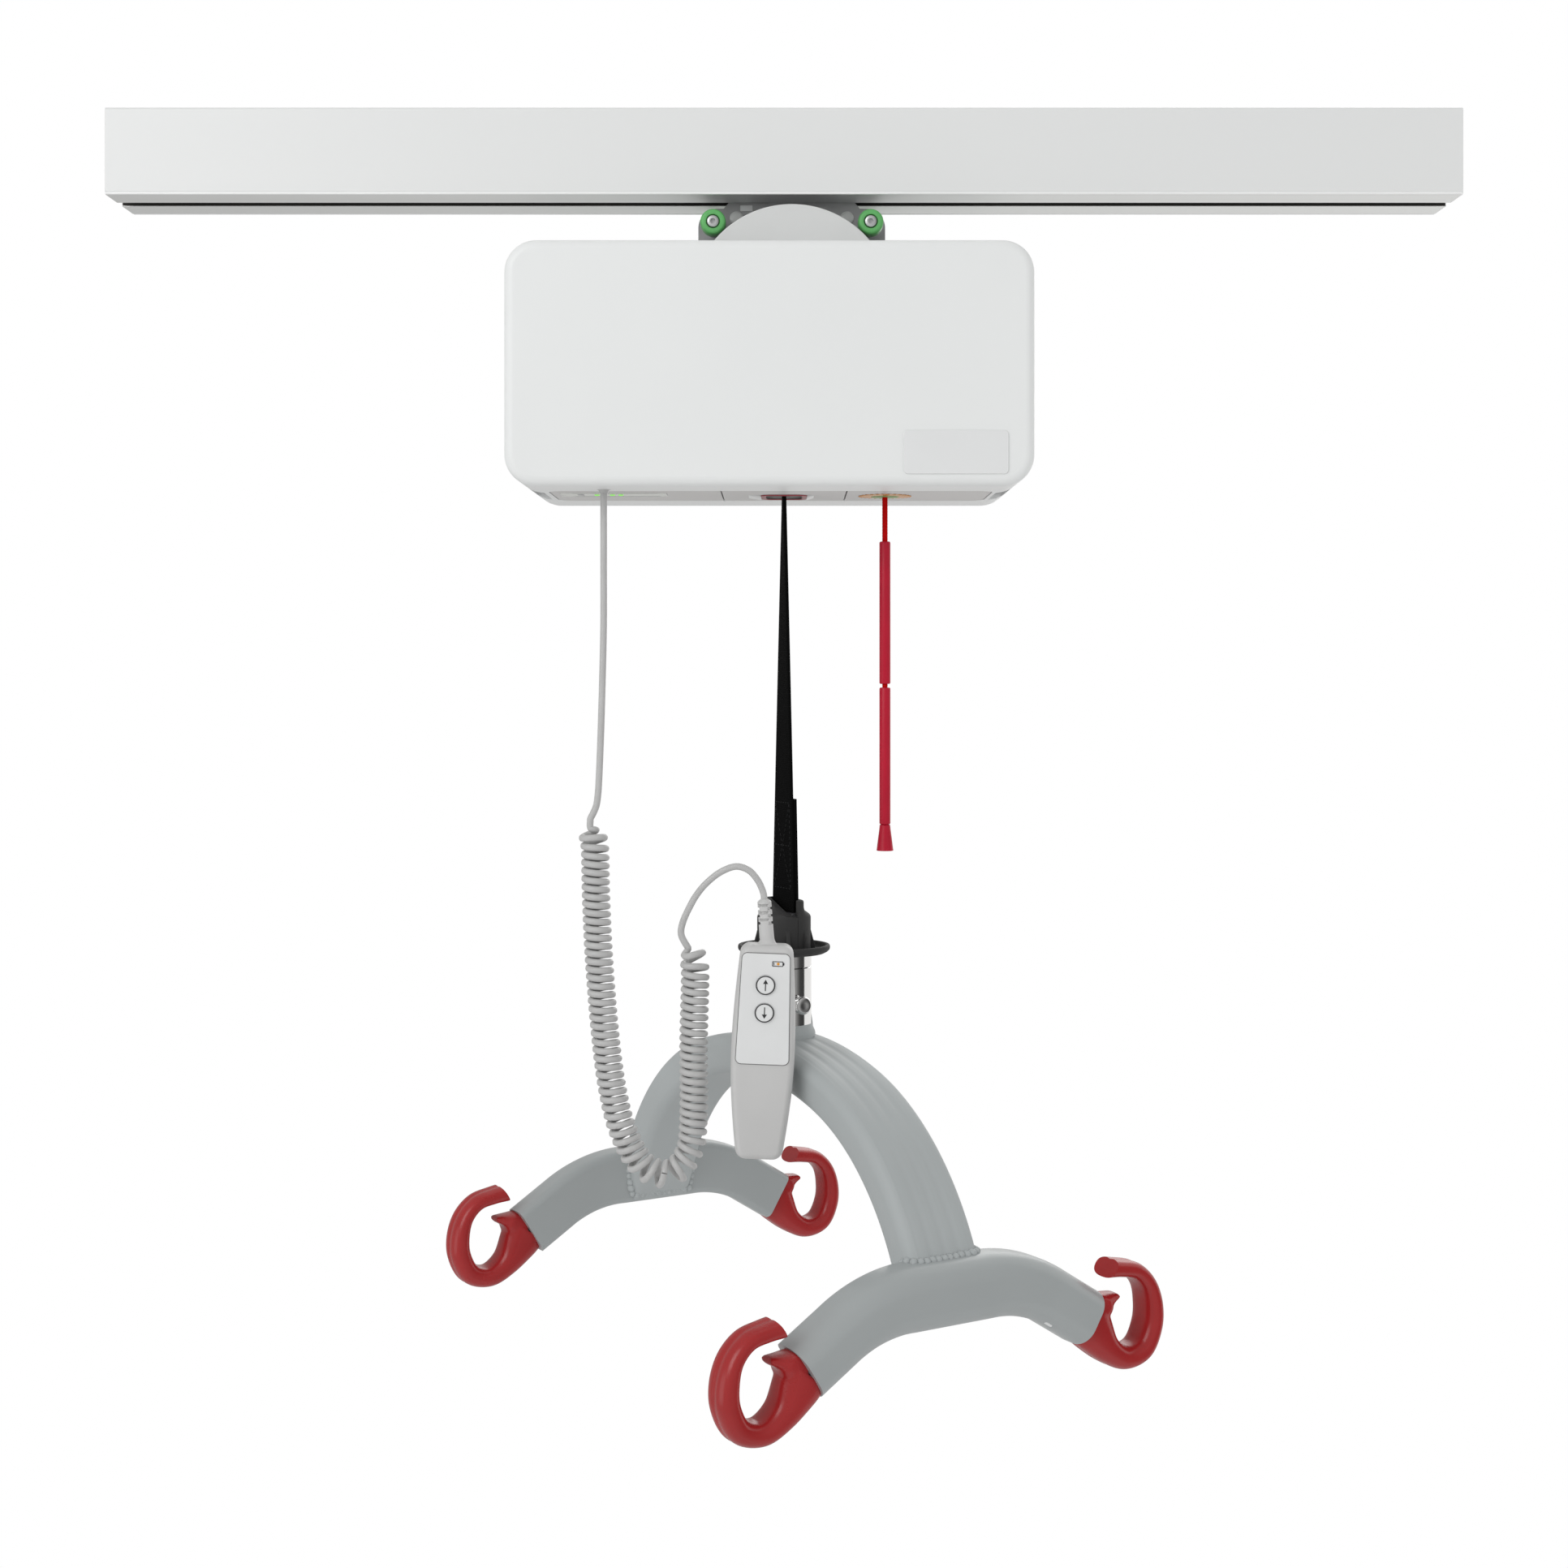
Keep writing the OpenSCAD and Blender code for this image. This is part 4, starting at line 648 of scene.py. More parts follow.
# Each finish: name, colour, roughness, metal, mottle, patch size, grain and grain size
FINISHES = {
    "rail": ("rail_coat", "rail", 0.36, 0.06, 0.01, 5, 0.015, 900),
    # Painted highlight: whiter rods along the rail's lower rounded edges
    "edge": ("rail_edge", (0.93, 0.935, 0.93), 0.3, 0, 0.01, 20),
    # Painted shade: darker than the tray, for the recessed end notches
    "pan": ("notch_pan", (0.36, 0.365, 0.37), 0.45, 0, 0.05, 30, 0.06, 1500),
    # Painted shadow in the gap round the handset overlay
    "border": ("overlay_border", (0.20, 0.20, 0.20), 0.5, 0, 0.1, 60),
    # Painted light: the bar colour made lighter for the arch, collar and weld beads, where light falls on
    # them
    "arch": ("arch_paint", "bar", 0.5, 0, 0.03, 9, 0.08, 420),
    "shade": ("rail_inside", (0.03, 0.028, 0.026), 0.6, 0, 0.2, 20),
    "cover": ("cover_plastic", "cover", 0.42, 0, 0.012, 6, 0.05, 1500),
    "tray": ("tray_plastic", "tray", 0.45, 0, 0.03, 10, 0.06, 1500),
    "dome": ("dome_coat", "dome", 0.45, 0.1, 0.03, 20, 0.05, 1200),
    "chassis": ("chassis_coat", "chassis", 0.5, 0.35, 0.1, 30, 0.1, 900),
    "roller": ("roller_nylon", "roller", 0.42, 0, 0.06, 60, 0.06, 1500),
    "steel": ("steel", (0.62, 0.62, 0.63), 0.28, 1.0, 0.06, 80, 0.05, 1500),
    "chrome": ("polished_steel", (0.80, 0.80, 0.80), 0.07, 1.0, 0.02, 30, 0.015, 1200),
    "black": ("black_plastic", "coupling", 0.30, 0, 0.2, 40, 0.06, 1100),
    "bar": ("bar_paint", "bar", 0.36, 0, 0.03, 9, 0.10, 420),
    "hook": ("hook_plastic", "hook", 0.26, 0, 0.06, 30, 0.05, 900),
    "handset": ("handset_plastic", "handset", 0.45, 0, 0.02, 25, 0.10, 1800),
    "overlay": ("overlay_film", "overlay", 0.35, 0, 0.015, 40, 0.05, 2200),
    "button": ("button_film", "overlay", 0.38, 0, 0.015, 60, 0.05, 2200),
    "mark": ("dark_print", (0.03, 0.03, 0.032), 0.5, 0, 0.1, 200),
    "mark_orange": ("orange_print", (0.75, 0.33, 0.04), 0.5, 0, 0.05, 200),
    "cord": ("cord_jacket", "cord", 0.42, 0, 0.03, 60, 0.06, 1500),
    "rope": ("rope_yarn", "rope", 0.7, 0, 0.15, 500, 0.3, 2500),
    "grip": ("grip_tube", "grip", 0.38, 0, 0.08, 40, 0.05, 1200),
    "ring": ("guide_ring", (0.30, 0.035, 0.045), 0.4, 0, 0.1, 60, 0.06, 1500),
    "rosette": ("rosette_orange", (0.55, 0.24, 0.08), 0.45, 0, 0.25, 260, 0.1, 1500),
    "rosette_hub": ("rosette_green", (0.20, 0.33, 0.10), 0.45, 0, 0.12, 120),
    "window": ("window_film", (0.60, 0.62, 0.58), 0.25, 0, 0.03, 60, 0.03, 1500),
    "light": ("status_light", (0.22, 0.72, 0.08), 0.3, 0, 0.05, 300),
    "badge": ("badge_film", (0.80, 0.81, 0.81), 0.34, 0, 0.012, 20, 0.04, 1500),
    "rubber": ("black_rubber", (0.02, 0.02, 0.02), 0.75, 0, 0.2, 50, 0.2, 900),
    "inner": ("inner_metal", (0.36, 0.37, 0.38), 0.45, 0.8, 0.08, 40, 0.1, 700),
    "motor": ("motor_enamel", (0.035, 0.035, 0.038), 0.4, 0.2, 0.15, 50, 0.1, 900),
    "battery": ("battery_wrap", (0.03, 0.09, 0.35), 0.4, 0, 0.1, 40, 0.05, 900),
    "board": ("board_lacquer", (0.015, 0.12, 0.04), 0.4, 0, 0.2, 120, 0.1, 1200),
    "nylon": ("wheel_nylon", (0.66, 0.65, 0.60), 0.45, 0, 0.05, 40, 0.08, 1200),
    "webbing": ("strap_webbing", "webbing"),
    "thread": ("strap_thread", (0.009, 0.009, 0.010), 0.6, 0, 0.2, 800),
}
# What some finishes have besides
FINISH_EXTRAS = {
    "rail": {"stretch": (0.05, 1, 1)}, "chrome": {"stretch": (1, 1, 0.05), "rough_spread": 0.02},
    "edge": {"spec": 0.6}, "arch": {"spec": 0.4}, "shade": {"spec": 0.2}, "rope": {"spec": 0.1},
    "grip": {"spec": 0.35}, "thread": {"spec": 0.2}, "bar": {"coat": 0.15}, "light": {"glow": 0.55},
}
# How much lighter the arch is painted than the bars: painted light for the light that falls on it
ARCH_PAINTED_LIGHT = 1.12


def paint(key):
    """The finish of one kind of piece, made when it is first asked for"""
    name, colour, *values = FINISHES[key]
    known = bpy.data.materials.get(name)
    if known:
        return known
    if isinstance(colour, str):
        colour = getattr(bpy.context.scene.hoist_colours, colour)
    if key == "webbing":
        return webbing_finish(name, colour)
    # Painted light: the arch gets the bar colour made lighter
    if key == "arch":
        colour = [ARCH_PAINTED_LIGHT*v for v in colour]
    material = finish(name, colour, *values, **FINISH_EXTRAS.get(key, {}))
    if key == "rail":
        bare_underside(material)
    return material


# Hand cord
def curl_route(s):
    """Points of the curls, sixteen to a turn, with wider steps where the middle line bends"""
    mid = spline(CURL_POINTS, 12)
    run = [0.0]
    for a, b in zip(mid, mid[1:]):
        run.append(run[-1] + (b - a).length)
    total = run[-1]
    deep = Vector((0, 1, 0))

    def at(where):
        i = min(max(bisect.bisect_right(run, where) - 1, 0), len(run) - 2)
        return mid[i].lerp(mid[i + 1], (where - run[i])/(run[i + 1] - run[i]))

    def heading(where):
        return (at(min(where + 2, total)) - at(max(where - 2, 0))).normalized()

    def bend(where):
        return (heading(min(where + 4, total)) - heading(max(where - 4, 0))).length/8

    stops = [0.0]
    while stops[-1] < total:
        here = stops[-1]
        straight = here < s.cord_d or here > total - s.cord_d - CURL_TAPER
        step = s.curl_pitch/CURL_STEPS/max(1 - CURL_SPREAD*s.curl_r*bend(here), CURL_LEAST)
        stops.append(here + (s.cord_d/3 if straight else step))
    stops[-1] = total
    route = []
    lowest = (0, 0.0)
    for i, (here, after) in enumerate(zip(stops, stops[1:])):
        for half in (0.0, 0.5):
            where = here + (after - here)*half
            room = min(where, total - where) - s.cord_d
            size = s.curl_r*smoothstep(room/CURL_TAPER)
            side = heading(where).cross(deep)
            a = math.radians(CURL_START + 360*(i + half)/CURL_STEPS)
            middle = at(where)
            if middle.z < lowest[1]:
                lowest = (len(route), middle.z)
            route.append(middle + size*(math.cos(a)*side + math.sin(a)*deep))
    route.append(at(total))
    return route, lowest[0]


class HOIST_OT_hand_cord(bpy.types.Operator):
    """Makes the hand cord: a straight lead, the curls in a U and a free tail"""
    bl_idname = "hoist.hand_cord"
    bl_label = "Hand cord"

    def execute(self, context):
        s = sizes()
        sides = context.scene.hoist_sizes.cord_sides
        curls, low = curl_route(s)
        upper = spline(LEAD_POINTS, 5)[:-1] + curls[:low + 1]
        lower = curls[low:] + spline(TAIL_POINTS, 5)[1:]
        first = tube("hand_cord_upper", upper, s.cord_d, sides, paint("cord"))
        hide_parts("cord_lead")
        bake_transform(first)
        second = tube("hand_cord_lower", lower, s.cord_d, sides, paint("cord"))
        seat(second, "lift_unit", "cord_grey", "cord_curls", "cord_tail")
        return {"FINISHED"}


class HOIST_OT_pull_cord(bpy.types.Operator):
    """Makes the emergency pull cord: braided rope, two grip tubes and a bell"""
    bl_idname = "hoist.pull_cord"
    bl_label = "Pull cord"

    def execute(self, context):
        s = sizes()
        low = GRIP_TOP - 2*s.grip_l - GRIP_GAP
        end = low - 6
        steps, sides, lay, relief = 330, 24, 4.4, 0.14
        rings, path = [], []
        for i in range(steps + 1):
            z = ROPE_TOP + (end - ROPE_TOP)*i/steps
            ring = []
            for k in range(sides):
                a = 2*math.pi*k/sides
                weave = math.cos(4*a + 2*math.pi*z/lay)*math.cos(4*a - 2*math.pi*z/lay)
                r = s.rope_d/2 - relief + relief*weave
                ring.append((PULL_AT[0] + r*math.cos(a), PULL_AT[1] + r*math.sin(a), z))
            rings.append(ring)
            path.append((PULL_AT[0]*MM, PULL_AT[1]*MM, z*MM))
        rope = piece("pull_rope_braid", loft(rings), "rope", "pull_cord", "rope_red", "pull_rope", degrees=70)
        bore, r = s.rope_d/2 + 0.05, s.grip_d/2
        profiles = []
        for k in (0, 1):
            top = GRIP_TOP - k*(s.grip_l + GRIP_GAP)
            foot = top - s.grip_l + 4*k
            profiles.append([
                (bore, top - 1.5), (bore + 0.5, top - 0.2), (r - 0.9, top), (r - 0.25, top - 0.3),
                (r, top - 1), (r, foot + 1), (r - 0.25, foot + 0.3), (r - 0.9, foot),
                (bore + 0.5, foot + 0.2), (bore, foot + 1.5), (bore, top - 1.5)])
        profiles.append([
            (bore, low + 3.8), (r - 0.6, low + 3.8), (r - 0.2, low + 3.5), (r - 0.1, low + 2.8),
            (r + 0.1, low + 0.5), (r + 1.1, low - 7), (r + 1.9, low - 13.4), (r + 2.1, low - 14.7),
            (r + 1.8, low - 15), (r + 1.3, low - 14.6), (r + 0.4, low - 10), (r - 0.8, low - 4),
            (bore, low - 2), (bore, low + 3.8)])
        tubes = [revolve(profile, upright(*PULL_AT), 40) for profile in profiles]
        grip = piece("pull_grip_tubes", joined(*tubes), "grip", "pull_cord", "grip_red", "pull_grip",
                     degrees=40)
        return {"FINISHED"}


# Lifting strap
def strap_turn(z):
    """Turn of the strap at a height, as an angle"""
    t = (STRAP_TWIST_FROM - z)/(STRAP_TWIST_FROM - STRAP_TWIST_TO)
    return (math.pi/2 + YAW)*min(max(t, 0), 1)


def strap_place(x, y, z):
    """A point across the strap, turned with it"""
    return (*spun(x, y, strap_turn(z)), z)


def map_strap(obj, half):
    """The strap's own map: distance across it and along it, in millimetres"""
    mesh = obj.data
    layer = mesh.uv_layers.new(name="strap")
    for loop in mesh.loops:
        p = mesh.vertices[loop.vertex_index].co/MM
        across = spun(p.x, p.y, -strap_turn(p.z))[1]
        layer.data[loop.index].uv = (across + half, p.z)


def stitch_seats(s):
    """Seats of the stitches on both faces: a box, its two diagonals and a middle row"""
    t, reach = s.strap_t, s.strap_w/2 - 2.6
    top, low = STRAP_TAIL_TOP - 3, STRAP_TWIST_TO + 8
    mid = (top + low)/2
    lines = [((-reach, top), (reach, top)), ((-reach, low), (reach, low)), ((-reach, top), (-reach, low)),
             ((reach, top), (reach, low)), ((-reach, top), (reach, low)), ((reach, top), (-reach, low)),
             ((-reach, mid), (reach, mid))]
    seats = []
    for a, b in lines:
        a, b = Vector(a), Vector(b)
        way = (b - a).normalized()
        n = int((b - a).length/(s.stitch_l + 1.1))
        for i in range(n):
            y, z = a.lerp(b, (i + 0.5)/n)
            for off, sign in ((1.5*t + 0.05, 1), (-t/2, -1)):
                out = strap_place(sign, 0, z)
                along = strap_place(0, way.x, z)
                turn = facing((out[0], out[1], 0), (along[0], along[1], way.y))
                seats.append((strap_place(off, y, z), turn))
    return seats


class HOIST_OT_strap(bpy.types.Operator):
    """Makes the lifting strap, its sewn tail and the stitches"""
    bl_idname = "hoist.strap"
    bl_label = "Lifting strap"

    def execute(self, context):
        s = sizes()
        t = s.strap_t
        section = round_rect(t, s.strap_w, min(1.1, t/2 - 0.1), 4)
        forms = []
        for low, high, off in ((STRAP_END, STRAP_TOP, 0), (STRAP_END, STRAP_TAIL_TOP, t + 0.05)):
            n = max(int((high - low)/3.5), 4)
            levels = [high + (low - high)*i/n for i in range(n + 1)]
            forms.append(loft([[strap_place(x + off, y, z) for x, y in section] for z in levels]))
        strap = make("lifting_strap_woven", joined(*forms), paint("webbing"), 50)
        map_strap(strap, s.strap_w/2)
        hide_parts("lifting_strap")
        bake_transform(strap)
        half = s.stitch_l/2
        turn = [math.radians(a) for a in range(36, 180, 36)]
        profile = [(0.0, half)] + [(0.42*math.sin(a), half*math.cos(a)) for a in turn] + [(0.0, -half)]
        stitch = revolve(profile, lambda u, v, h: (h, u, v*0.7), 6)
        thread = scatter("strap_stitches", stitch_seats(s), stitch, "thread", degrees=80)
        seat(thread, "lift_unit", "webbing_black")
        return {"FINISHED"}


# Rail and trolley
class HOIST_OT_rail(bpy.types.Operator):
    """Dresses the rail and its end stops"""
    bl_idname = "hoist.rail"
    bl_label = "Rail"

    def execute(self, context):
        dress("rail", "rail_profile")
        half, top, wall = RAIL["length"]/2 - 0.5, -RAIL["top"], RAIL["width"]/2 - RAIL["wall"]
        low = RAIL["lip"] - RAIL["height"] + 2
        # Grey plates lining the rail's hollow: painted shade inside the rail, seen through the slot
        near, far = 0.05, 0.3
        shade_plates = joined(box(-half, half, 2 - wall, wall - 2, top - far, top - near),
                       box(-half, half, wall - far, wall - near, low, top - 2),
                       box(-half, half, near - wall, far - wall, low, top - 2))
        piece("rail_inside_coat", shade_plates, "chassis", "rail", "rail_silver")
        # Near-black plates on the slot's side faces: painted shade in the slot
        near, far = 5.82, 5.97
        sides = joined(box(-half, half, near, far, low - 7.6, low - 2.2),
                       box(-half, half, -far, -near, low - 7.6, low - 2.2))
        piece("rail_slot_coat", sides, "shade", "rail", "rail_silver")
        # Whiter rods along the lower edges: a painted highlight on the rail's rounded edges
        edge, sink = 0.9, 0.7
        edges = []
        for side in (-1, 1):
            y, z = side*(RAIL["width"]/2 - sink), sink - RAIL["height"]
            edges.append(loft([[(x, y + u, z + v) for u, v in circle(edge, 12)] for x in (-half, half)]))
        piece("rail_round_edges", joined(*edges), "edge", "rail", "rail_silver", degrees=60, even=True)
        dress("rubber", "end_stops")
        dress("steel", "end_stop_screws")
        return {"FINISHED"}


def dome_outline(n=96):
    """A disc cut off along a level line"""
    a0 = math.asin((DOME_CUT - DOME_Z)/DOME_R)
    angles = [a0 + (math.pi - 2*a0)*k/n for k in range(n + 1)]
    return [(DOME_R*math.cos(a) + TROLLEY_X, DOME_R*math.sin(a) + DOME_Z) for a in angles]


def socket_screw():
    """A screw with a round head and a hexagon socket"""
    n, top, floor = 36, 0.8, -2.2
    profile = ((3.0, -11.5), (3.0, -2.7), (4.2, -2.7), (4.3, -2.4), (4.3, -0.6), (4.0, 0.3), (3.2, 0.75),
               (2.6, top))
    rings = [[(u, v, h) for u, v in circle(r, n)] for r, h in profile]
    hexagon = [Vector(point) for point in circle(2.1, 6)]
    sides = [hexagon[k//6].lerp(hexagon[(k//6 + 1) % 6], (k % 6)/6) for k in range(n)]
    return loft(rings + [[(*point, h) for point in sides] for h in (top, floor)])


class HOIST_OT_trolley(bpy.types.Operator):
    """Makes the trolley's dome plates, guide rollers and screws"""
    bl_idname = "hoist.trolley"
    bl_label = "Trolley"

    def execute(self, context):
        dress("chassis", "trolley_chassis")
        dress("steel", "hanger_bolts")
        plates = [slab(dome_outline(), near, far, 0.8, frontal(0)) for near, far in DOME_DEPTHS]
        piece("trolley_domes", joined(*plates), "dome", "carriage", "dome_grey", "dome_plates",
              degrees=30, even=True)
        r, seats, bolt_seats = sizes().roller_r, [], []
        profile = [(3.1, 0.0), (r - 1.2, 0.0), (r - 0.4, 0.25), (r, 1.0), (r, 9.6), (r - 0.25, 10.6),
                   (r - 0.9, 11.5), (r - 1.7, 11.95), (r - 2.6, 12.0), (5.3, 12.0), (5.0, 11.7), (5.0, 9.1),
                   (3.1, 9.1), (3.1, 0.0)]
        for row, way in (("front", -1), ("rear", 1)):
            for side, x in (("left", TROLLEY_X - ROLLER_X), ("right", TROLLEY_X + ROLLER_X)):
                name = f"roller_{row}_{side}"
                form = revolve(profile, frontal(way*ROLLER_NEAR, way, x, ROLLER_Z), 56)
                piece("guide_" + name, form, "roller", "guide_" + name, "roller_green", name, degrees=40)
                seats.append(((x, way*ROLLER_FAR, ROLLER_Z), facing((0, way, 0))))
        screws = scatter("roller_socket_screws", seats, socket_screw(), "steel", degrees=30)
        seat(screws, "carriage", "steel", "roller_screws")
        for x in (TROLLEY_X - CHASSIS_BOLT_X, TROLLEY_X + CHASSIS_BOLT_X):
            for way in (-1, 1):
                bolt_seats.append(((x, way*CHASSIS_FACE, CHASSIS_BOLT_Z), facing((0, way, 0))))
        cap = revolve([(0.0, -0.2), (5.0, -0.2), (5.0, 0.9), (4.5, 1.4), (3.0, 1.7), (0.0, 1.8)], flat, 28)
        caps = scatter("chassis_bolt_caps", bolt_seats, cap, "dome", degrees=40)
        seat(caps, "carriage", "steel")
        outline = round_rect(TAG_W, TAG_H, 0.6, 4, TAG_AT)
        plate = slab(outline, 0, 0.6, 0.2, frontal(-CHASSIS_FACE, -1), 2)
        piece("chassis_plate_tag", plate, "badge", "carriage", "badge_white")
        return {"FINISHED"}


# Housing
def cover_shell(front, s):
    """One cover as a closed shell: rounded outside, plain inside, open at the joint"""
    left, right, low, top = (HOUSING[key] for key in ("left", "right", "bottom", "top"))
    face, way = (HOUSING["front"], 1) if front else (HOUSING["rear"], -1)
    joint, wall = -0.25*way, COVER_WALL

    def ring(depth, y):
        r = max(s.corner_r - depth, 2)
        outline = panel_outline(left + depth, right - depth, low + depth, top - depth, r, r, 14)
        return [(u, y, v) for u, v in outline]

    rings = [ring(depth, face + way*rise) for depth, rise in rounding(s.edge_r, s.edge_r, 8)]
    rings += [ring(0, joint - way*0.5), ring(0.35, joint), ring(wall, joint),
              ring(wall, face + way*(wall + 5)), ring(wall + 4, face + way*wall)]
    return loft(rings)


def cover_cuts(front):
    """Openings of the covers: trolley gap, tray, end notches, cord hole and screw seats"""
    low, top, rear, gap = HOUSING["bottom"], HOUSING["top"], HOUSING["rear"], 0.8
    reach, deep = TROLLEY_GAP_L/2, TROLLEY_GAP_W/2
    r = TRAY["corner"] + gap
    outline = panel_outline(TRAY["left"] - gap, TRAY["right"] + gap, TRAY["front"] - gap, TRAY["rear"] + gap,
                            r, r, 10)
    forms = [box(TROLLEY_X - reach, TROLLEY_X + reach, -deep, deep, top - 6, top + 2),
             slab(outline, low - 2, low + 5, 0, flat)]
    for side, x in NOTCHES:
        outline = round_rect(NOTCH_W, NOTCH_L, 2.5, 5, (x + side*NOTCH_W/2, NOTCH_Y))
        forms.append(slab(outline, low - 2, low + 7, 0, flat))
    if front:
        forms.append(drum(CORD_HOLE_R, low - 2, low + 5, upright(*CORD_EXIT), 32))
    else:
        floor = rear - SCREW_SEAT_DEPTH
        forms += [drum(SCREW_SEAT_R, floor, rear + 2, frontal(0, 1, x, z), 28) for x, z in COVER_SCREWS]
    return joined(*forms)


def notch_pans(r):
    """Curved pans that close the notches from inside, for a cover corner of a radius; their darker grey is
    painted shade of the recess
    """
    outer, thick, reach = r - COVER_WALL - 0.05, 1.2, NOTCH_L/2 + 1
    section = ((outer, -reach), (outer, reach), (outer - thick, reach), (outer - thick, -reach))
    pans = []
    for side, _ in NOTCHES:
        middle = (HOUSING["right"] - r) if side > 0 else (HOUSING["left"] + r)
        rings = []
        for k in range(13):
            a = math.radians(50*k/12 - 3)
            rings.append([(middle + side*q*math.sin(a), NOTCH_Y + y, HOUSING["bottom"] + r - q*math.cos(a))
                          for q, y in section])
        pans.append(loft(rings))
    return joined(*pans)


def star_screw():
    """A low screw with a star-shaped recess"""
    rings = []
    for r, h, dent in ((1.9, -20.0, 0), (1.9, -1.5, 0), (4.0, -1.5, 0), (4.0, -0.35, 0), (3.5, 0.0, 0),
                       (2.0, 0.0, 0), (1.6, -0.3, 0.16), (1.4, -1.2, 0.16)):
        angles = [2*math.pi*k/36 for k in range(36)]
        reach = [(r + dent*math.cos(6*a), a) for a in angles]
        rings.append([(q*math.cos(a), q*math.sin(a), h) for q, a in reach])
    return loft(rings)


class HOIST_OT_housing(bpy.types.Operator):
    """Makes the two covers, the notch pans, the cover screws and the bare badge plate"""
    bl_idname = "hoist.housing"
    bl_label = "Housing"

    def execute(self, context):
        s = sizes()
        for name, front in (("front_cover", True), ("rear_cover", False)):
            piece(name + "_shell", cover_shell(front, s), "cover", "carriage", "cover_white", name,
                  degrees=40, cuts=cover_cuts(front), even=True)
        piece("cover_notch_pans", notch_pans(s.corner_r), "pan", "carriage", "tray_grey", even=True)
        seats = [((x, HOUSING["rear"], z), facing((0, 1, 0))) for x, z in COVER_SCREWS]
        screws = scatter("cover_star_screws", seats, star_screw(), "steel", degrees=30)
        seat(screws, "carriage", "steel", "cover_screws")
        outline = round_rect(BADGE_W, BADGE_H, 3, 6, BADGE_AT)
        badge = slab(outline, 0, 1, 0.5, frontal(HOUSING["front"], -1))
        piece("badge_plate_film", badge, "badge", "carriage", "badge_white", "badge_plate",
              degrees=50, even=True)
        return {"FINISHED"}


def tray_panels(low):
    """The three panels of the tray, square at their joints and round at the ends"""
    gap, square, round_r = 0.4, 0.6, TRAY["corner"]
    left, right = TRAY["joints"]
    spans = ((TRAY["left"], left - gap, round_r, square), (left + gap, right - gap, square, square),
             (right + gap, TRAY["right"], square, round_r))
    panels = []
    for x0, x1, left_r, right_r in spans:
        outline = panel_outline(x0, x1, TRAY["front"], TRAY["rear"], left_r, right_r)
        panels.append(slab(outline, low, low + 3, 0.5, flat))
    return joined(*panels)


def rosette_disc(low):
    """The disc round the pull cord, with a waved rim"""
    teeth, n = 26, 156
    rows = []
    for r, drop, wave in ((3.2, 0, 0), (3.2, 0.7, 0), (10.5, 0.7, 0), (11.2, 0.6, 0.2), (16.5, 0.55, 0.35),
                          (18.4, 0.45, 0.55), (18.8, 0.2, 0.55), (18.6, 0, 0.4)):
        row = []
        for k in range(n):
            a = 2*math.pi*k/n
            crest = wave*math.cos(teeth*a)
            row.append((PULL_AT[0] + (r + crest)*math.cos(a), PULL_AT[1] + (r + crest)*math.sin(a),
                        low - drop - (0.5*crest if drop else 0)))
        rows.append(row)
    return loft(rows, loop=True)


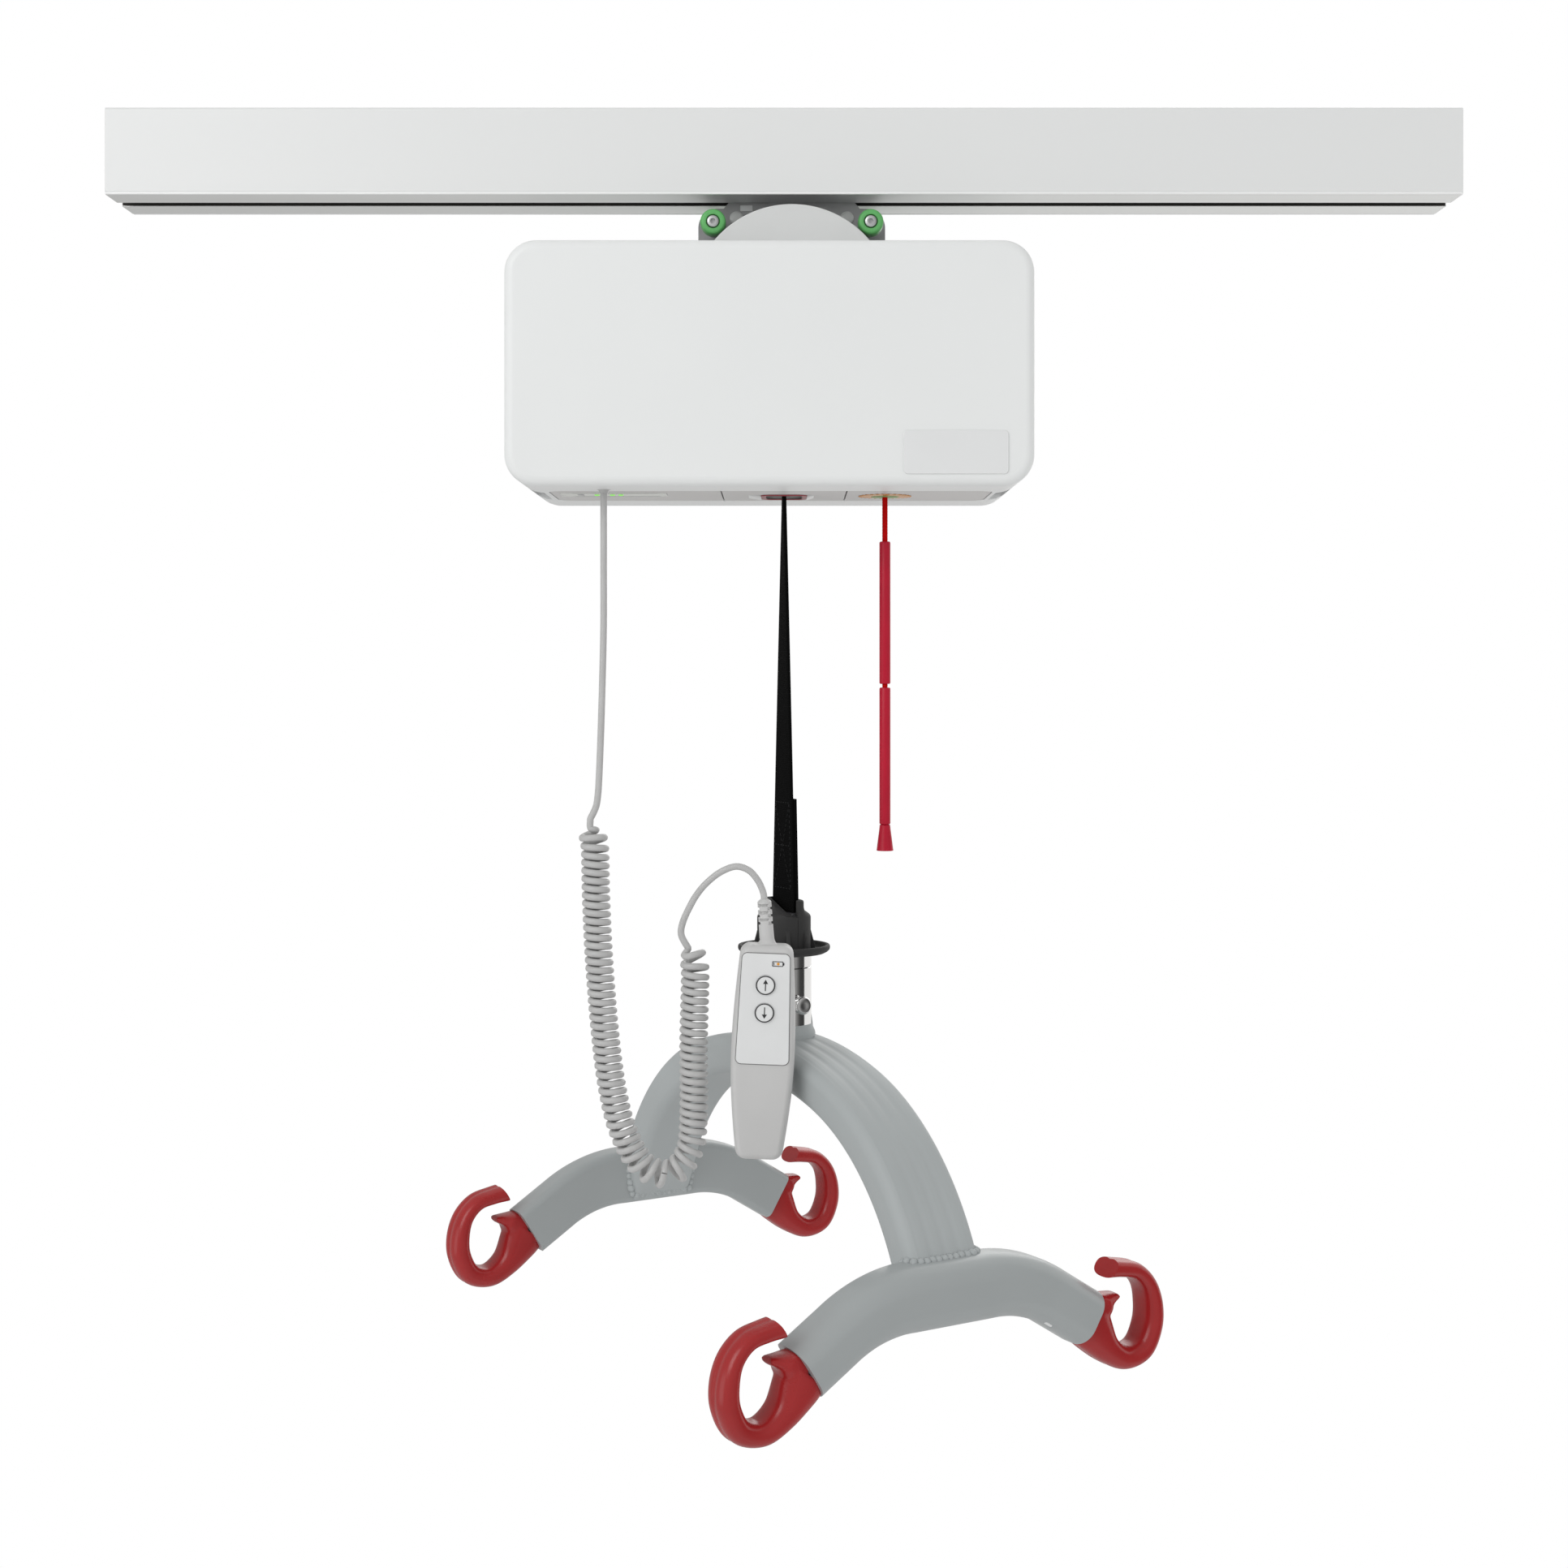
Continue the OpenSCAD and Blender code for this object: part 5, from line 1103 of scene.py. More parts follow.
class HOIST_OT_underside(bpy.types.Operator):
    """Makes the tray panels, display window, lights, strap ring, rosette and cord gland"""
    bl_idname = "hoist.underside"
    bl_label = "Underside"

    def execute(self, context):
        low = HOUSING["bottom"]
        well = round_rect(WINDOW_W + 0.4, WINDOW_D + 0.4, WINDOW_R + 0.2, 6, WINDOW_AT)
        holes = joined(slab(round_rect(STRAP_HOLE_W, STRAP_HOLE_D, 5, 6), low - 3, low + 6, 0, flat),
                       drum(PULL_HOLE_R, low - 3, low + 6, upright(*PULL_AT), 28),
                       slab(well, low - 1, low + 1, 0, flat))
        piece("tray_panels", tray_panels(low), "tray", "carriage", "tray_grey", "bottom_tray",
              degrees=40, cuts=holes, even=True)
        pane = round_rect(WINDOW_W, WINDOW_D, WINDOW_R, 8, WINDOW_AT)
        film = slab(pane, low - 0.3, low + 1, 0.3, flat)
        piece("display_film", film, "window", "carriage", "window_pale", "display_window",
              degrees=50, even=True)
        spot = round_rect(DISPLAY_SPOT_W, DISPLAY_SPOT_D, 0.6, 3, DISPLAY_SPOT_AT)
        marks = [slab(spot, low - 0.45, low, 0.1, flat, 2)]
        for middle in DISPLAY_LINES:
            line = round_rect(DISPLAY_LINE_L, DISPLAY_LINE_W, 0.3, 3, middle)
            marks.append(slab(line, low - 0.42, low, 0.05, flat, 2))
        piece("display_sensor", joined(*marks), "chassis", "carriage", "window_pale")
        seats = [((x, WINDOW_AT[1], low), facing((0, 0, -1))) for x in LIGHTS_X]
        profile = [(0.0, -0.2), (2.1, -0.2), (2.1, 0.35), (1.7, 0.75), (0.9, 0.95), (0.0, 1.0)]
        lights = scatter("status_lenses", seats, revolve(profile, flat, 20), "light", degrees=60)
        seat(lights, "carriage", "light_green", "status_leds")
        outline = round_rect(STRAP_RING_W, STRAP_RING_D, STRAP_RING_R, 8)
        rings = []
        for c, q in circle(1, 20):
            z = min(low - 0.35 - 0.6*q, low + 0.1)
            rings.append([(u, v, z) for u, v in inset(outline, 2.1 - 2.0*c)])
        piece("strap_ring_moulded", loft(rings, loop=True), "ring", "carriage", "guide_red",
              "strap_guide_ring", degrees=60)
        half, wedges = LIP_L/2, []
        for span in LIP_SPANS:
            wedges.append(loft([[(u, -half, low), (u, half, low), (u, half, low - drop),
                                 (u, -half, low - drop)] for u, drop in zip(span, LIP_DROPS)]))
        piece("strap_ring_lip", joined(*wedges), "badge", "carriage", "window_pale", even=True)
        piece("pull_rosette_disc", rosette_disc(low), "rosette", "carriage", "rosette_orange", "pull_rosette",
              degrees=50)
        profile = [(2.5, low - 0.6), (10.2, low - 0.6), (10.2, low - 0.8), (9.4, low - 1.1), (3.4, low - 1.2),
                   (2.5, low - 1.0), (2.5, low - 0.6)]
        piece("pull_rosette_hub", revolve(profile, upright(*PULL_AT), 48), "rosette_hub", "carriage",
              "rosette_orange", degrees=50)
        profile = [(2.4, low + 3), (4.9, low + 3), (4.9, low + 0.3), (3.7, low - 0.4), (3.3, low - 1.2),
                   (2.9, low - 2.6), (2.4, low - 2.6), (2.4, low + 3)]
        piece("cord_gland_boot", revolve(profile, upright(*CORD_EXIT), 36), "cord", "carriage", "cord_grey",
              "cord_gland", degrees=40)
        return {"FINISHED"}


# Coupling and stem
def coupling_body():
    """The coupling's outside: flat round the strap at its top, round at its foot"""
    power = 3.4

    def ring(z, flat_share, shrink):
        points = []
        for c, q in circle(1, 72):
            oval = ((abs(c)/COUPLING_R)**power + (abs(q)/COUPLING_FLAT)**power)**(-1/power)
            r = COUPLING_R + (oval - COUPLING_R)*flat_share - shrink
            points.append((r*c, r*q, z))
        return points

    levels = [(COUPLING_BASE, 0, 0.2), (COUPLING_BASE + 11.5, 0, 0.2), (COUPLING_BASE + 15.5, 0, 0)]
    levels += [(COUPLING_TOP - 3.5 - 9.5*k/8, 1 - smoothstep(k/8), 0) for k in range(8, 0, -1)]
    levels += [(COUPLING_TOP - 1.4, 1, 0), (COUPLING_TOP - 0.4, 1, 0.4), (COUPLING_TOP, 1, 1.2)]
    return loft([ring(*level) for level in levels])


def coupling_ribs():
    """Eight upright ribs round the coupling's foot"""
    b = COUPLING_BASE
    outline = [(14, b), (23.2, b), (22.4, b + 4), (20.6, b + 10.5), (19.3, b + 15.5), (14, b + 15.5)]
    ribs = []
    for k in range(8):
        a = math.radians(45*k + 22.5)
        ribs.append(slab(outline, -1.6, 1.6, 0.6, lambda u, v, h, a=a: (*spun(u, h, a), v)))
    return ribs


class HOIST_OT_coupling(bpy.types.Operator):
    """Makes the two black coupling shells and the dish that the handset hangs on"""
    bl_idname = "hoist.coupling"
    bl_label = "Coupling"

    def execute(self, context):
        across, deep = COUPLING_SLOT_W/2, COUPLING_SLOT_D/2
        slot = box(-across, across, -deep, deep, STRAP_END - 1, COUPLING_TOP + 5)

        def leant(x, y, z):
            z, x = spun(z, x, COUPLING_LEAN)
            return (x, y, COUPLING_TOP + z)

        slope = moved(box(-60, 60, -60, 0.01, -4, 40), leant)
        for name, near, far in (("coupling_front", -60, -0.12), ("coupling_rear", 0.12, 60)):
            shell = make(name + "_shell", coupling_body(), paint("black"), 45)
            for rib in coupling_ribs():
                cut(shell, rib, "UNION", 45)
            cut(shell, box(-60, 60, near, far, -700, -500), "INTERSECT", 45)
            cut(shell, slot, degrees=45)
            if name == "coupling_front":
                cut(shell, slope, degrees=45)
            shell.data.transform(Matrix.Rotation(YAW, 4, "Z"))
            seat(shell, "lift_unit", "black_plastic", name)
        b = DISH_BOTTOM
        profile = [(8.6, b), (27.0, b), (29.4, b + 0.4), (31.8, b + 1.6), (33.2, b + 3.0), (33.5, b + 4.2),
                   (33.4, b + 5.6), (33.0, b + 6.3), (32.2, b + 6.5), (31.2, b + 6.4), (30.6, b + 6.0),
                   (30.2, b + 4.6), (29.8, b + 3.2), (28.8, b + 2.6), (27.5, b + 2.5), (8.6, b + 2.5),
                   (8.6, b)]
        piece("hanger_dish", revolve(profile, upright(0, 0), 96), "black", "lift_unit", "black_plastic",
              "hanger_disc", degrees=50)
        dress("motor", "strap_pin")
        return {"FINISHED"}


class HOIST_OT_stem(bpy.types.Operator):
    """Makes the polished stem with its seam, the release knob and the collar"""
    bl_idname = "hoist.stem"
    bl_label = "Stem"

    def execute(self, context):
        r, axis = STEM_R, upright(0, 0)
        profile = [(8.5, DISH_BOTTOM), (r - 0.3, DISH_BOTTOM), (r, DISH_BOTTOM - 0.4), (r, STEM_SEAM + 0.75),
                   (r - 0.35, STEM_SEAM + 0.35), (8.5, STEM_SEAM + 0.35), (8.5, DISH_BOTTOM)]
        piece("swivel_ring", revolve(profile, axis, 96), "chrome", "lift_unit", "polished_steel",
              "swivel_bearing", degrees=30)
        head, neck = STEM_HEAD_TOP, STEM_HEAD_LOW
        profile = [(0.0, head), (12, head), (12, neck), (8, neck), (8, STEM_SEAM), (r - 0.35, STEM_SEAM),
                   (r, STEM_SEAM - 0.4), (r, ARCH_TOP - 1), (0.0, ARCH_TOP - 1)]
        piece("swivel_stem_turned", revolve(profile, axis, 96), "chrome", "sling_bar", "polished_steel",
              "swivel_stem", degrees=30)
        profile = [(0.0, 4.2), (4, 4.2), (4, r + 0.6), (5.2, r + 0.8), (5.2, r + 2.6), (5.9, r + 3.0),
                   (6.4, r + 3.5), (6.4, r + 7.4), (6.1, r + 8.2), (5.4, r + 8.8), (4.2, r + 9.1),
                   (2.2, r + 8.8), (0.0, r + 8.6)]
        form = revolve(profile, lambda u, v, h: turned(h, u, KNOB_Z + v), 48)
        piece("release_knob_turned", form, "chrome", "knob", "polished_steel", "release_knob", degrees=40)
        top = ARCH_TOP - 3.5
        profile = [(r, top - 6), (r + 3, top - 6), (r + 3, top + 5), (r + 2.6, top + 6.6),
                   (r + 1.2, top + 9.6), (r + 0.3, top + 11.6), (r, top + 12), (r, top - 6)]
        lug = [(r - 0.2, top + 8), (r + 3, top + 5.5), (r + 1.9, top + 13.5), (r + 1.0, top + 18.3),
               (r + 0.5, top + 18.3)]
        forms = [revolve(profile, axis, 80)]
        for outline in ([(-u, v) for u, v in reversed(lug)], lug):
            forms.append(slab(outline, -4.2, 4.2, 0.4, lambda u, v, h: turned(h, u, v), 2))
        piece("stem_collar_cast", joined(*forms), "arch", "sling_bar", "bar_grey", "stem_collar")
        return {"FINISHED"}


# Sling bar
def arch_place(b):
    """Place and slope of the arch's middle line at an angle from its top"""
    a, a1 = math.radians(b), math.radians(ARCH_A1)
    x, z, r = 0, ARCH_TOP - ARCH_R1, ARCH_R1
    if b > ARCH_A1:
        x, z, r = (r - ARCH_R2)*math.sin(a1), z + (r - ARCH_R2)*math.cos(a1), ARCH_R2
    r -= ARCH_T/2
    return (x + r*math.sin(a), z + r*math.cos(a), b)


def arch_line():
    """Places and slopes along one half of the arch, from its top to its foot"""
    line = [arch_place(ARCH_A1*k/14) for k in range(15)]
    line += [arch_place(ARCH_A1 + (ARCH_A2 - ARCH_A1)*k/28) for k in range(1, 29)]
    a, (x, z, _) = math.radians(ARCH_A2), line[-1]
    return line + [(x + d*math.cos(a), z - d*math.sin(a), ARCH_A2) for d in (8, 16, 24, ARCH_TAIL - 0.5)]


def arch_outline(depth):
    """Outline of the arch: five flutes on the outer face, round edges, plain inner face"""
    half, edge, n = ARCH_W/2, ARCH_EDGE, 120
    points = []
    for i in range(n + 1):
        v = half*math.cos(math.pi*i/n)
        e = max(abs(v) - half + edge, 0)
        crown = ARCH_T/2 - edge + math.sqrt(max(edge*edge - e*e, 0))
        gap = min(abs(v - k*FLUTE_PITCH) for k in range(-2, 3))
        dip = depth*(0.5 + 0.5*math.cos(math.pi*gap/FLUTE_REACH)) if gap < FLUTE_REACH else 0
        points.append((v, min(crown, ARCH_T/2 - dip)))
    points += corner(-half + edge, edge - ARCH_T/2, edge, 180, 8)[1:]
    return points + corner(half - edge, edge - ARCH_T/2, edge, 270, 8)[:-1]


def bar_outline(n=10):
    """D-shaped outline of a cross-bar, flat side inwards"""
    ro, ri, d, h = BAR_OUTER_R, BAR_INNER_R, BAR_D/2, BAR_H/2
    return (corner(d - ro, h - ro, ro, 0, n) + corner(ri - d, h - ri, ri, 90, n)
            + corner(ri - d, ri - h, ri, 180, n) + corner(d - ro, ro - h, ro, 270, n))


def inside_bar(x, z):
    """Whether a point of the arch lies in the cross-bar's middle"""
    u, v = x - BAR_REACH, z - BAR_Z
    r = BAR_OUTER_R if u > 0 else BAR_INNER_R
    du, dv = abs(u) - (BAR_D/2 - r), abs(v) - (BAR_H/2 - r)
    return du <= r and dv <= r and (du <= 0 or dv <= 0 or math.hypot(du, dv) <= r)


def bar_place(b, on=0):
    """Place of a cross-bar's middle line at an angle of its bend, and a way on from there"""
    a = math.radians(b)
    return (BAR_FLAT + BAR_BEND_R*math.sin(a) + on*math.cos(a),
            BAR_Z - BAR_BEND_R*(1 - math.cos(a)) - on*math.sin(a))


def both_ways(line):
    """A half line with its mirror image before it"""
    first = 1 if line[0][0] == 0 else 0
    return [(-x, z, -b) for x, z, b in reversed(line[first:])] + line


def weld_seats(line, outline, side, pitch):
    """Seats of the beads where the arch's skin enters a cross-bar, all round"""
    loop, last = [], len(line) - 1
    for v, u in outline:
        for i in range(1, 600):
            t = i/599*last
            k = min(int(t), last - 1)
            p = Vector(line[k]).lerp(Vector(line[k + 1]), t - k)
            a = math.radians(p.z)
            x, z = p.x + u*math.sin(a), p.y + u*math.cos(a)
            if inside_bar(x, z):
                loop.append(Vector(turned(side*x, v, z)))
                break
    seats, gone = [], 0.0
    for a, b in zip(loop, loop[1:] + loop[:1]):
        span = (b - a).length
        while span > 1e-6 and gone <= span:
            seats.append((a.lerp(b, gone/span), facing(UP, b - a)))
            gone += pitch
        gone -= span
    return seats


class HOIST_OT_sling_bar(bpy.types.Operator):
    """Makes the fluted arch, the two bent cross-bars and the weld beads between them"""
    bl_idname = "hoist.sling_bar"
    bl_label = "Sling bar"

    def execute(self, context):
        s = sizes()
        line, outline = arch_line(), arch_outline(s.flute_depth)
        rings = []
        for x, z, b in both_ways(line):
            a = math.radians(b)
            rings.append([turned(x + u*math.sin(a), v, z + u*math.cos(a)) for v, u in outline])
        piece("sling_arch", loft(rings), "arch", "sling_bar", "bar_grey", "arch", degrees=40)
        half = [(*bar_place(BAR_BEND*k/14), BAR_BEND*k/14) for k in range(15)]
        half.append((*bar_place(BAR_BEND, BAR_STRAIGHT), BAR_BEND))
        bars, seats, plug_seats = [], [], []
        bend = math.radians(BAR_BEND)
        for side in (-1, 1):
            rings = []
            for y, z, b in both_ways(half):
                a = math.radians(b)
                slim = 1 - BAR_TAPER*abs(b)/BAR_BEND
                rings.append([turned(side*(BAR_REACH + u), y + slim*v*math.sin(a), z + slim*v*math.cos(a))
                              for u, v in bar_outline()])
            bars.append(loft(rings))
            seats += weld_seats(line, outline, side, s.bead_d*0.66)
            out = turned(side*PLUG_WAY[0], PLUG_WAY[1]*math.sin(bend), PLUG_WAY[1]*math.cos(bend))
            low = turned(side*(BAR_REACH + PLUG_X), PLUG_Y - PLUG_DEPTH*math.sin(bend),
                         BAR_Z + PLUG_Z - PLUG_DEPTH*math.cos(bend))
            plug_seats.append((low, facing(out, turned(0, math.cos(bend), -math.sin(bend)))))
        piece("sling_cross_bars", joined(*bars), "bar", "sling_bar", "bar_grey", "crossbars", degrees=40)
        bump = revolve([(0.0, 0.5), (0.28, 0.42), (0.46, 0.2), (0.5, 0.0), (0.46, -0.2), (0.28, -0.42),
                        (0.0, -0.5)], lambda u, v, h: (h*0.8, u, v*0.9), 10)
        beads = scatter("sling_weld_beads", seats, bump, "arch", s.bead_d, s.bead_d*0.12, 7, 80)
        seat(beads, "sling_bar", "bar_grey")
        plug = slab(round_rect(6.5, 2.4, 1.1, 4), -0.4, 0.6, 0.25, flat, 2)
        plugs = scatter("sling_drain_plugs", plug_seats, plug, "badge")
        seat(plugs, "sling_bar", "badge_white")
        return {"FINISHED"}


# Hooks
def at_bar_end(x, y, z):
    """A point set out from a cross-bar's end, with Y along the bar"""
    y0, z0 = bar_place(BAR_BEND, BAR_STRAIGHT)
    y, z = spun(y, z, -math.radians(BAR_BEND))
    return (BAR_REACH + x, y0 + y, z0 + z)


def hook_rings(points, half, crease):
    """Rings along a hook's middle line, soft-cornered, with a crease along the outer side"""
    line = spline(points, 8)
    y0, z0 = bar_place(BAR_BEND, BAR_STRAIGHT)
    rings = []
    for i, p in enumerate(line):
        t = line[min(i + 1, len(line) - 1)] - line[max(i - 1, 0)]
        t = Vector((t.x, t.y)).normalized()
        w = half*min(1, 0.45 + p.z/13)
        ring = []
        for c, q in circle(1, 40):
            u = math.copysign(abs(c)**0.8, c)
            v = math.copysign(abs(q)**0.8, q)
            if q > 0:
                v -= crease/max(p.z, 4)*math.exp(-(u/0.16)**2)
            ring.append((BAR_REACH + w*u, y0 + p.x + p.z*v*t.y, z0 + p.y - p.z*v*t.x))
        rings.append(ring)
    return rings


class HOIST_OT_hooks(bpy.types.Operator):
    """Makes the four moulded hooks"""
    bl_idname = "hoist.hooks"
    bl_label = "Hooks"

    def execute(self, context):
        half = sizes().hook_w/2
        form = joined(loft(hook_rings(HOOK_LINE, half, 1.0)), loft(hook_rings(BEAK_LINE, half - 1.5, 0)))
        hook = make("hook_mould", form, paint("hook"))
        mould = hook.modifiers.new("mould", "REMESH")
        mould.mode = "VOXEL"
        mould.voxel_size = 0.0009
        soft = hook.modifiers.new("soft", "SMOOTH")
        soft.factor = 0.5
        soft.iterations = 8
        bake(hook, 60)
        cut(hook, moved(box(-60, 60, -80, 0, -80, 80), at_bar_end), degrees=60)
        profile = [(0.0, -17.5), (7.4, -17.5), (7.9, -17), (7.9, 1), (0.0, 1)]
        pin = make("hook_spigot", revolve(profile, lambda u, v, h: at_bar_end(u, h, v), 32), paint("hook"))
        for side, name in ((1, "hooks_front"), (-1, "hooks_rear")):
            shape = bmesh.new()
            for source in (hook.data, pin.data):
                for way in (1, -1):
                    copy = source.copy()
                    copy.transform(Matrix.Rotation(YAW, 4, "Z") @ Matrix.Diagonal((side, way, 1, 1)))
                    if side*way < 0:
                        copy.flip_normals()
                    shape.from_mesh(copy)
                    bpy.data.meshes.remove(copy)
            mesh = bpy.data.meshes.new(name + "_moulded")
            shape.to_mesh(mesh)
            shape.free()
            mesh.materials.append(paint("hook"))
            shade(mesh, 60)
            seat(add_object(name + "_moulded", mesh), "sling_bar", "hook_red", name)
        for spare in (hook, pin):
            bpy.data.objects.remove(spare)
        return {"FINISHED"}


# Handset
def leaned(u, y, v):
    """A point of the handset, drawn below its top and leaned"""
    x, z = spun(u, v, -HANDSET_LEAN)
    return (HANDSET_TOP[0] + x, y, HANDSET_TOP[1] + z)


def on_face(drop=0.0, across=0.0, rise=0.0, way=-1):
    """Places a form on the handset's face, its height outwards or, with a way of 1, inwards"""
    return lambda u, v, h: leaned(u + across, HANDSET_FRONT - rise + way*h, v - drop)


def handset_outline(n=60):
    """Outline of the handset from the front: shoulders, a broad upper part and a narrower foot"""
    top, broad, foot = HANDSET_W
    r = 6.5
    right = []
    for k in range(n + 1):
        t = 0.5 - 0.5*math.cos(math.pi*k/n)
        end = top if t < 0.5 else foot
        w = end + (broad - end)*math.sin(math.pi*t)
        e = min(t, 1 - t)*HANDSET_L
        c = r - math.sqrt(max(r*r - (r - e)**2, 0)) if e < r else 0
        right.append((w/2 - c, -HANDSET_L*t))
    return [(-u, v) for u, v in right] + list(reversed(right))


def half_handset(front):
    """One shell of the handset, softly rounded to its face"""
    outline = handset_outline()
    face, way = (HANDSET_FRONT, 1) if front else (HANDSET_BACK, -1)
    split = HANDSET_MID - 0.15*way
    rings = [(inset(outline, depth), face + way*rise) for depth, rise in rounding(4.6, 6, 8)]
    rings += [(outline, split - way*0.4), (inset(outline, 0.35), split)]
    return loft([[leaned(u, y, v) for u, v in ring] for ring, y in rings])


def button_holes(r, low, high):
    """Round blocks at the two buttons, between two depths under the face"""
    return joined(*[drum(r, low, high, on_face(drop, way=1), 40) for drop in BUTTON_DROPS])


def framed(outer, inner, low, high, place):
    """A flat frame between two outlines"""
    rows = ((outer, low), (outer, high), (inner, high), (inner, low))
    return loft([[place(u, v, h) for u, v in outline] for outline, h in rows], loop=True)


def relief_rings():
    """Rings of the strain relief: a slotted sleeve that bends into the cord"""
    rows, slots, slot_depth = 128, (14.4, 19.4, 24.4), 1.9
    rings = []
    for i in range(rows + 1):
        h = RELIEF_L*i/rows
        bend = RELIEF_BEND*smoothstep((h - 0.8)/4)
        base = 5.1 + 1.9*max(0, 1 - h/3.2)**2 - 0.3*h/RELIEF_L
        if i > rows - 8:
            base -= 0.35*((i - rows + 8)/2)**1.3
        ring = []
        for k in range(60):
            a = 2*math.pi*k/60
            r = base
            for low in slots:
                for half_row in (0, 1):
                    sector = math.cos(2*a + math.pi*half_row + 0.5)
                    depth = max(0, 1 - (abs(h - low - 2.5*half_row)/0.95)**4)
                    r -= slot_depth*depth*smoothstep((sector + 0.25)*4)
            u, v = spun(r*math.cos(a), h, -bend)
            ring.append(leaned(u, HANDSET_MID + r*math.sin(a), v))
        rings.append(ring)
    return rings


class HOIST_OT_handset(bpy.types.Operator):
    """Makes the handset: shells, overlay, buttons with arrows, battery sign and strain relief"""
    bl_idname = "hoist.handset"
    bl_label = "Handset"

    def execute(self, context):
        r = sizes().button_r
        body, grey = "lift_unit", "handset_grey"
        dress("board", "handset_board")
        piece("handset_front_shell", half_handset(True), "handset", body, grey, "handset_front",
              degrees=40, cuts=button_holes(r + 0.3, -1, 6), even=True)
        piece("handset_rear_shell", half_handset(False), "handset", body, grey, "handset_rear",
              degrees=40, even=True)
        rim, floor, x = DISH_RIM, DISH_FLOOR, HANDSET_TOP[0]
        hook = [(-64, rim + 2.8), (-60.5, rim + 2.8), (-22, rim + 2.8), (-22, floor + 1.6),
                (-24.6, floor + 1.6), (-24.6, rim + 0.3), (-60, rim + 0.3), (-60, rim - 14), (-64, rim - 14)]
        clip = slab(hook, x - 4, x + 4, 0.5, lambda u, v, h: (h, u, v))
        piece("handset_hanging_clip", clip, "handset", body, grey, degrees=40)
        panel = round_rect(OVERLAY_W, OVERLAY_H, 3.6, 8, (0, -OVERLAY_DROP - OVERLAY_H/2))
        outline = []
        for u, v in panel:
            w = OVERLAY_TOP_W + OVERLAY_SPREAD*(-v - OVERLAY_DROP)/OVERLAY_H
            outline.append((u*w/OVERLAY_W - 0.3, v))
        # A dark frame round the overlay: painted shadow in the gap between the overlay and the shell
        border = framed(inset(outline, -0.5), inset(outline, 0.3), -0.2, 0.3, on_face())
        piece("handset_overlay_border", border, "border", body, "black_plastic", degrees=50, even=True)
        piece("handset_overlay_film", slab(outline, -0.2, 0.8, 0.35, on_face()), "overlay", body,
              "overlay_pale", "handset_overlay", degrees=50, cuts=button_holes(r + 0.25, -3, 3), even=True)
        top = BUTTON_FACE
        arrow = [(-0.35, -3.9), (0.35, -3.9), (0.35, 1.0), (1.75, 1.0), (0.0, 3.9), (-1.75, 1.0),
                 (-0.35, 1.0)]
        profile = [(0.0, -5.5), (r + 1.5, -5.5), (r + 1.5, -4.5), (r, -4.4), (r, top - 0.7),
                   (r - 0.25, top - 0.25), (r - 0.8, top - 0.02), (r - 1.6, top), (0.0, top + 0.05)]
        ring = [(r - 0.75, top - 0.1), (r - 0.05, top - 0.4), (r - 0.05, top + 0.02), (r - 0.25, top + 0.14),
                (r - 0.75, top + 0.14), (r - 0.75, top - 0.1)]
        for way, drop, sense in (("up", BUTTON_DROPS[0], 1), ("down", BUTTON_DROPS[1], -1)):
            place = on_face(drop)
            piece(f"button_{way}_cap", revolve(profile, place, 56), "button", way + "_button", "button_white",
                  "button_" + way, degrees=40)
            sign = slab([(sense*u, sense*v) for u, v in arrow], top, top + 0.16, 0.0, place)
            piece(f"button_{way}_arrow", joined(revolve(ring, place, 56), sign), "mark", way + "_button",
                  "black_plastic", degrees=40)
        place = on_face(-SIGN_AT[1], SIGN_AT[0], 0.78)
        cell = joined(framed(round_rect(7.6, 3.6, 0.5, 3), round_rect(6.6, 2.6, 0.3, 3), 0, 0.15, place),
                      slab(round_rect(0.9, 1.8, 0.2, 2, (4.1, 0)), 0, 0.15, 0, place),
                      slab(round_rect(0.5, 2.0, 0.1, 2, (-2.6, 0)), 0, 0.15, 0, place))
        piece("handset_battery_sign", cell, "mark", body, "black_plastic", degrees=40)
        profile = [(0.0, 0), (1.0, 0), (0.95, 0.16), (0.0, 0.22)]
        dot = revolve(profile, lambda u, v, h: place(u + 0.3, v, h), 20)
        piece("handset_battery_light", dot, "mark_orange", body, "light_green")
        piece("handset_strain_relief", loft(relief_rings()), "handset", body, grey, "strain_relief",
              degrees=50)
        return {"FINISHED"}


INNER_FINISHES = {
    "steel": ("axle_left", "axle_right", "motor_pinion", "drum_bearings"),
    "nylon": ("wheels_left", "wheels_right"),
    "inner": ("frame_plates", "strap_drum", "drum_gear"),
    "motor": ("motor", "pull_switch"),
    "battery": ("battery_packs",),
    "board": ("control_board",),
}


class HOIST_OT_inner_parts(bpy.types.Operator):
    """Dresses the working parts inside the rail and the housing, and winds the strap on its drum"""
    bl_idname = "hoist.inner_parts"
    bl_label = "Inner parts"

    def execute(self, context):
        for kind, nodes in INNER_FINISHES.items():
            dress(kind, *nodes)
        step = 72
        section = round_rect(2.5, sizes().strap_w, 1.0, 3)
        rings = []
        for i in range(ROLL_TURNS*step + 1):
            a = 2*math.pi*i/step
            r = DRUM_R + (ROLL_R - DRUM_R)*i/(ROLL_TURNS*step)
            rings.append([(DRUM_AT[0] + (r + u)*math.cos(a), v, DRUM_AT[1] + (r + u)*math.sin(a))
                          for u, v in section])
        piece("strap_roll", loft(rings), "thread", "drum", "webbing_black", "strap_wrap", degrees=50)
        return {"FINISHED"}


